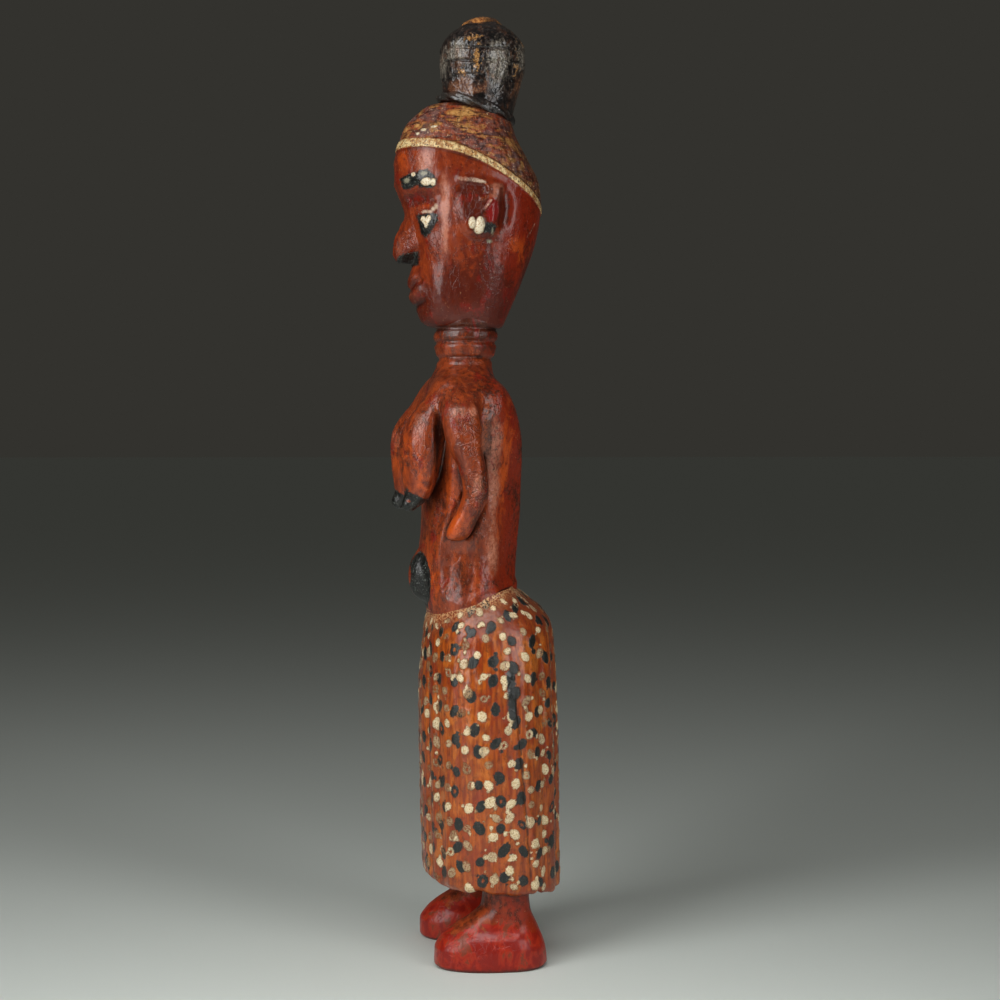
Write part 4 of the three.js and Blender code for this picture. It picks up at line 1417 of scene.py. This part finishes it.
def topknot_finish():
    n = Finish("black_topknot")
    # Grey patches of painted sheen on the glossy black.
    painted_sheen = n.own("painted_sheen") + (n.mottle * 3.0 - 1.6)
    sheen_colour = n.mix(n.chips.ramp(0.4, 0.62), (78, 70, 60), (160, 152, 138))
    brown = n.own("brown") + (n.patches * 3.0 - 1.5)
    earth = n.mix(n.chips.ramp(0.44, 0.6), (84, 46, 31), (136, 92, 62))
    gold = n.own("gold") + (n.mottle * 4.0 - 2.5)
    gilt = n.mix(n.chips.ramp(0.4, 0.6), (104, 62, 30), (206, 154, 90))
    cord = n.mix(n.grain.ramp(0.4, 0.65), (26, 24, 23), (74, 70, 64))
    golden = n.mix(n.mottle.ramp(0.42, 0.62), (206, 140, 76), (120, 66, 34))
    base = n.layers(
        n.mix(n.mottle.ramp(0.4, 0.62), (18, 15, 15), (46, 34, 31)),
        (painted_sheen.ramp(0.0, 1.3), 0.9, sheen_colour),
        (brown.ramp(0.0, 0.9), 0.9, earth),
        (gold.ramp(0.1, 0.8), 0.9, gilt),
        (n.area("coil", 0.5), 1.0, cord),
        (n.area("knob", 0.3, 0.4), 1.0, golden),
    )
    height = n.noise((5.0, 5.0, 6.0), 2, 0.45, 0.8) * 1.2 + gold.ramp(0.1, 0.5) * -0.25
    height = height + n.chips * n.patches.ramp(0.46, 0.58) * 0.18
    return n.finish(grime_and_shade(n, base, 0.8), height, 0.2, 1.0, 0.14)


def cloth_finish():
    n = Finish("dotted_cloth")
    streaks = n.noise((1.8, 1.8, 22), 3, 0.6, 0.5)
    smears = n.noise((7, 7, 16), 3, 0.55, 1.0)
    top = (n.height + n.patches * 40.0).ramp(172, 196)
    black = n.area("black", 0.25, 1.3)
    # Wear rubs the white dots away, and wear with painted shade dims them to brown, most on the dots turned
    # from the light.
    worn = n.own("wear_and_shade") * 0.16 + n.chips
    white = n.area("white", 0.2, 1.5) * (1.0 - worn.ramp(0.68, 0.78))
    light = n.mix(n.specks.ramp(0.44, 0.62), (232, 214, 176), (190, 154, 104))
    flakes = n.own("waist") * n.chips.ramp(0.47, 0.54)
    base = n.layers(
        n.mix(streaks.ramp(0.34, 0.66), (126, 51, 13), (176, 84, 20)),
        (smears.ramp(0.46, 0.64), 0.65, (132, 40, 14)),
        (smears.ramp(0.46, 0.34), 0.6, (196, 110, 40)),
        (n.mottle.ramp(0.52, 0.68), 0.6, (82, 38, 20)),
        (top, 0.7, (104, 46, 28)),
        (black, 1.0, n.mix(n.chips.ramp(0.5, 0.68), (20, 24, 22), (56, 54, 48))),
        (white, 1.0, n.mix(n.own("wear_and_shade").ramp(0.6, 1.3), light, (150, 112, 72))),
        (n.area("drip", 0.5, 1.5), 1.0, (30, 32, 30)),
        (flakes, 0.9, (214, 168, 120)),
    )
    height = n.grain * 0.05 + n.mottle * 0.2 + white * 0.25 + black * 0.1
    height = height + n.chips * (white + black) * 0.2 + n.chips * 0.05
    return n.finish(grime_and_shade(n, base, 0.8), height, 0.28, 0.9, 0.15)


def shoe_finish():
    n = Finish("red_shoes")
    skin, lines = varnished_skin(n)
    bare = n.patches + n.chips * 0.25
    rubbed = n.own("edge").ramp(0.1, 0.35) * n.chips.ramp(0.5, 0.56)
    sole = n.height + n.mottle * 3.0
    red = n.layers(
        n.mix(n.patches.ramp(0.42, 0.6), (130, 24, 12), (168, 42, 17)),
        (bare.ramp(0.66, 0.76), 0.8, (104, 52, 32)),
        (rubbed, 0.6, (92, 48, 30)),
        (sole.ramp(3.6, 2.4), 0.7, (66, 28, 18)),
    )
    shoe = n.own("shoe") + (n.patches - 0.5) * 22.0
    base = n.mix(shoe.ramp(-0.3, 0.3), skin, red)
    return n.finish(grime_and_shade(n, base, 0.6), carving_height(n, lines, 0.2, 0.05), 0.34, 0.5, 0.24)


# The stage: camera, floor and light


IMAGE_SIZE = 1000
FOCAL_PIXELS = 1760
AXIS_COLUMN = 475
HORIZON_ROW = 450
CAMERA_DISTANCE = 880.0
CAMERA_HEIGHT = 249.0
CAMERA_TURN = 9.0
SENSOR = 36.0
FLOOR_HALF = 60.0
FLOOR_COLOUR = (202, 208, 202)
ROOM_COLOUR = (51, 50, 46)
ROOM_LIGHT = 0.074
# Each softbox has a turn, a distance, a height, a width and height of its own, watts, an aim and a beam.
SOFTBOXES = {
    "left_softbox": (54, 800, 580, (440, 960), 6.8, (0, 0, 220), 180),
    "right_softbox": (-36, 800, 430, (300, 620), 2.4, (0, 0, 220), 180),
    "front_softbox": (CAMERA_TURN, 380, 600, (300, 300), 0.85, (CAMERA_TURN, 379, 0), 90),
}


def around(turn, distance, height):
    """A point round the figure. turn is in degrees from its left side towards its front."""
    angle = math.radians(turn)
    return Vector((math.cos(angle) * distance, -math.sin(angle) * distance - AXIS_SHIFT, height)) * MM


def aim(thing, target):
    thing.rotation_euler = (target - thing.location).to_track_quat("-Z", "Y").to_euler()


def add_camera():
    data = bpy.data.cameras.new("camera")
    data.sensor_width = SENSOR
    data.lens = FOCAL_PIXELS / IMAGE_SIZE * SENSOR
    data.shift_x = 0.5 - AXIS_COLUMN / IMAGE_SIZE
    data.shift_y = HORIZON_ROW / IMAGE_SIZE - 0.5
    camera = add_object("camera", data)
    camera.location = around(CAMERA_TURN, CAMERA_DISTANCE, CAMERA_HEIGHT)
    aim(camera, around(CAMERA_TURN, 0, CAMERA_HEIGHT))
    bpy.context.scene.camera = camera


def add_softbox(name, turn, distance, height, size, watts, target, beam):
    data = bpy.data.lights.new(name, "AREA")
    data.shape = "RECTANGLE"
    data.size = size[0] * MM
    data.size_y = size[1] * MM
    data.energy = watts
    data.spread = math.radians(beam)
    light = add_object(name, data)
    light.location = around(turn, distance, height)
    aim(light, around(*target))


def add_room_light():
    data = bpy.data.lights.new("room_light", "SUN")
    data.energy = ROOM_LIGHT
    data.angle = math.radians(90)
    add_object("room_light", data)


def add_floor():
    mesh = bpy.data.meshes.new("floor")
    corners = [(x * FLOOR_HALF, y * FLOOR_HALF, 0) for x, y in ((-1, -1), (1, -1), (1, 1), (-1, 1))]
    mesh.from_pydata(corners, [], [(0, 1, 2, 3)])
    floor = add_object("floor", mesh)
    material = bpy.data.materials.new("pale_floor")
    material.use_nodes = True
    shader = material.node_tree.nodes["Principled BSDF"]
    shader.inputs["Base Color"].default_value = colour(FLOOR_COLOUR)
    shader.inputs["Roughness"].default_value = 0.7
    shader.inputs["Specular IOR Level"].default_value = 0.2
    mesh.materials.append(material)


def set_world():
    world = bpy.data.worlds.new("studio")
    world.use_nodes = True
    world.node_tree.nodes["Background"].inputs["Color"].default_value = colour(ROOM_COLOUR)
    bpy.context.scene.world = world


add_camera()
add_floor()
set_world()
for name, settings in SOFTBOXES.items():
    add_softbox(name, *settings)
add_room_light()
bpy.context.scene.view_settings.view_transform = "Standard"

FINISHES = {
    "shoes": shoe_finish(),
    "skirt": cloth_finish(),
    "trunk": skin_finish(),
    "head": head_finish(),
    "topknot": topknot_finish(),
}
for part in PARTS:
    add_part(part, FINISHES[part.name])
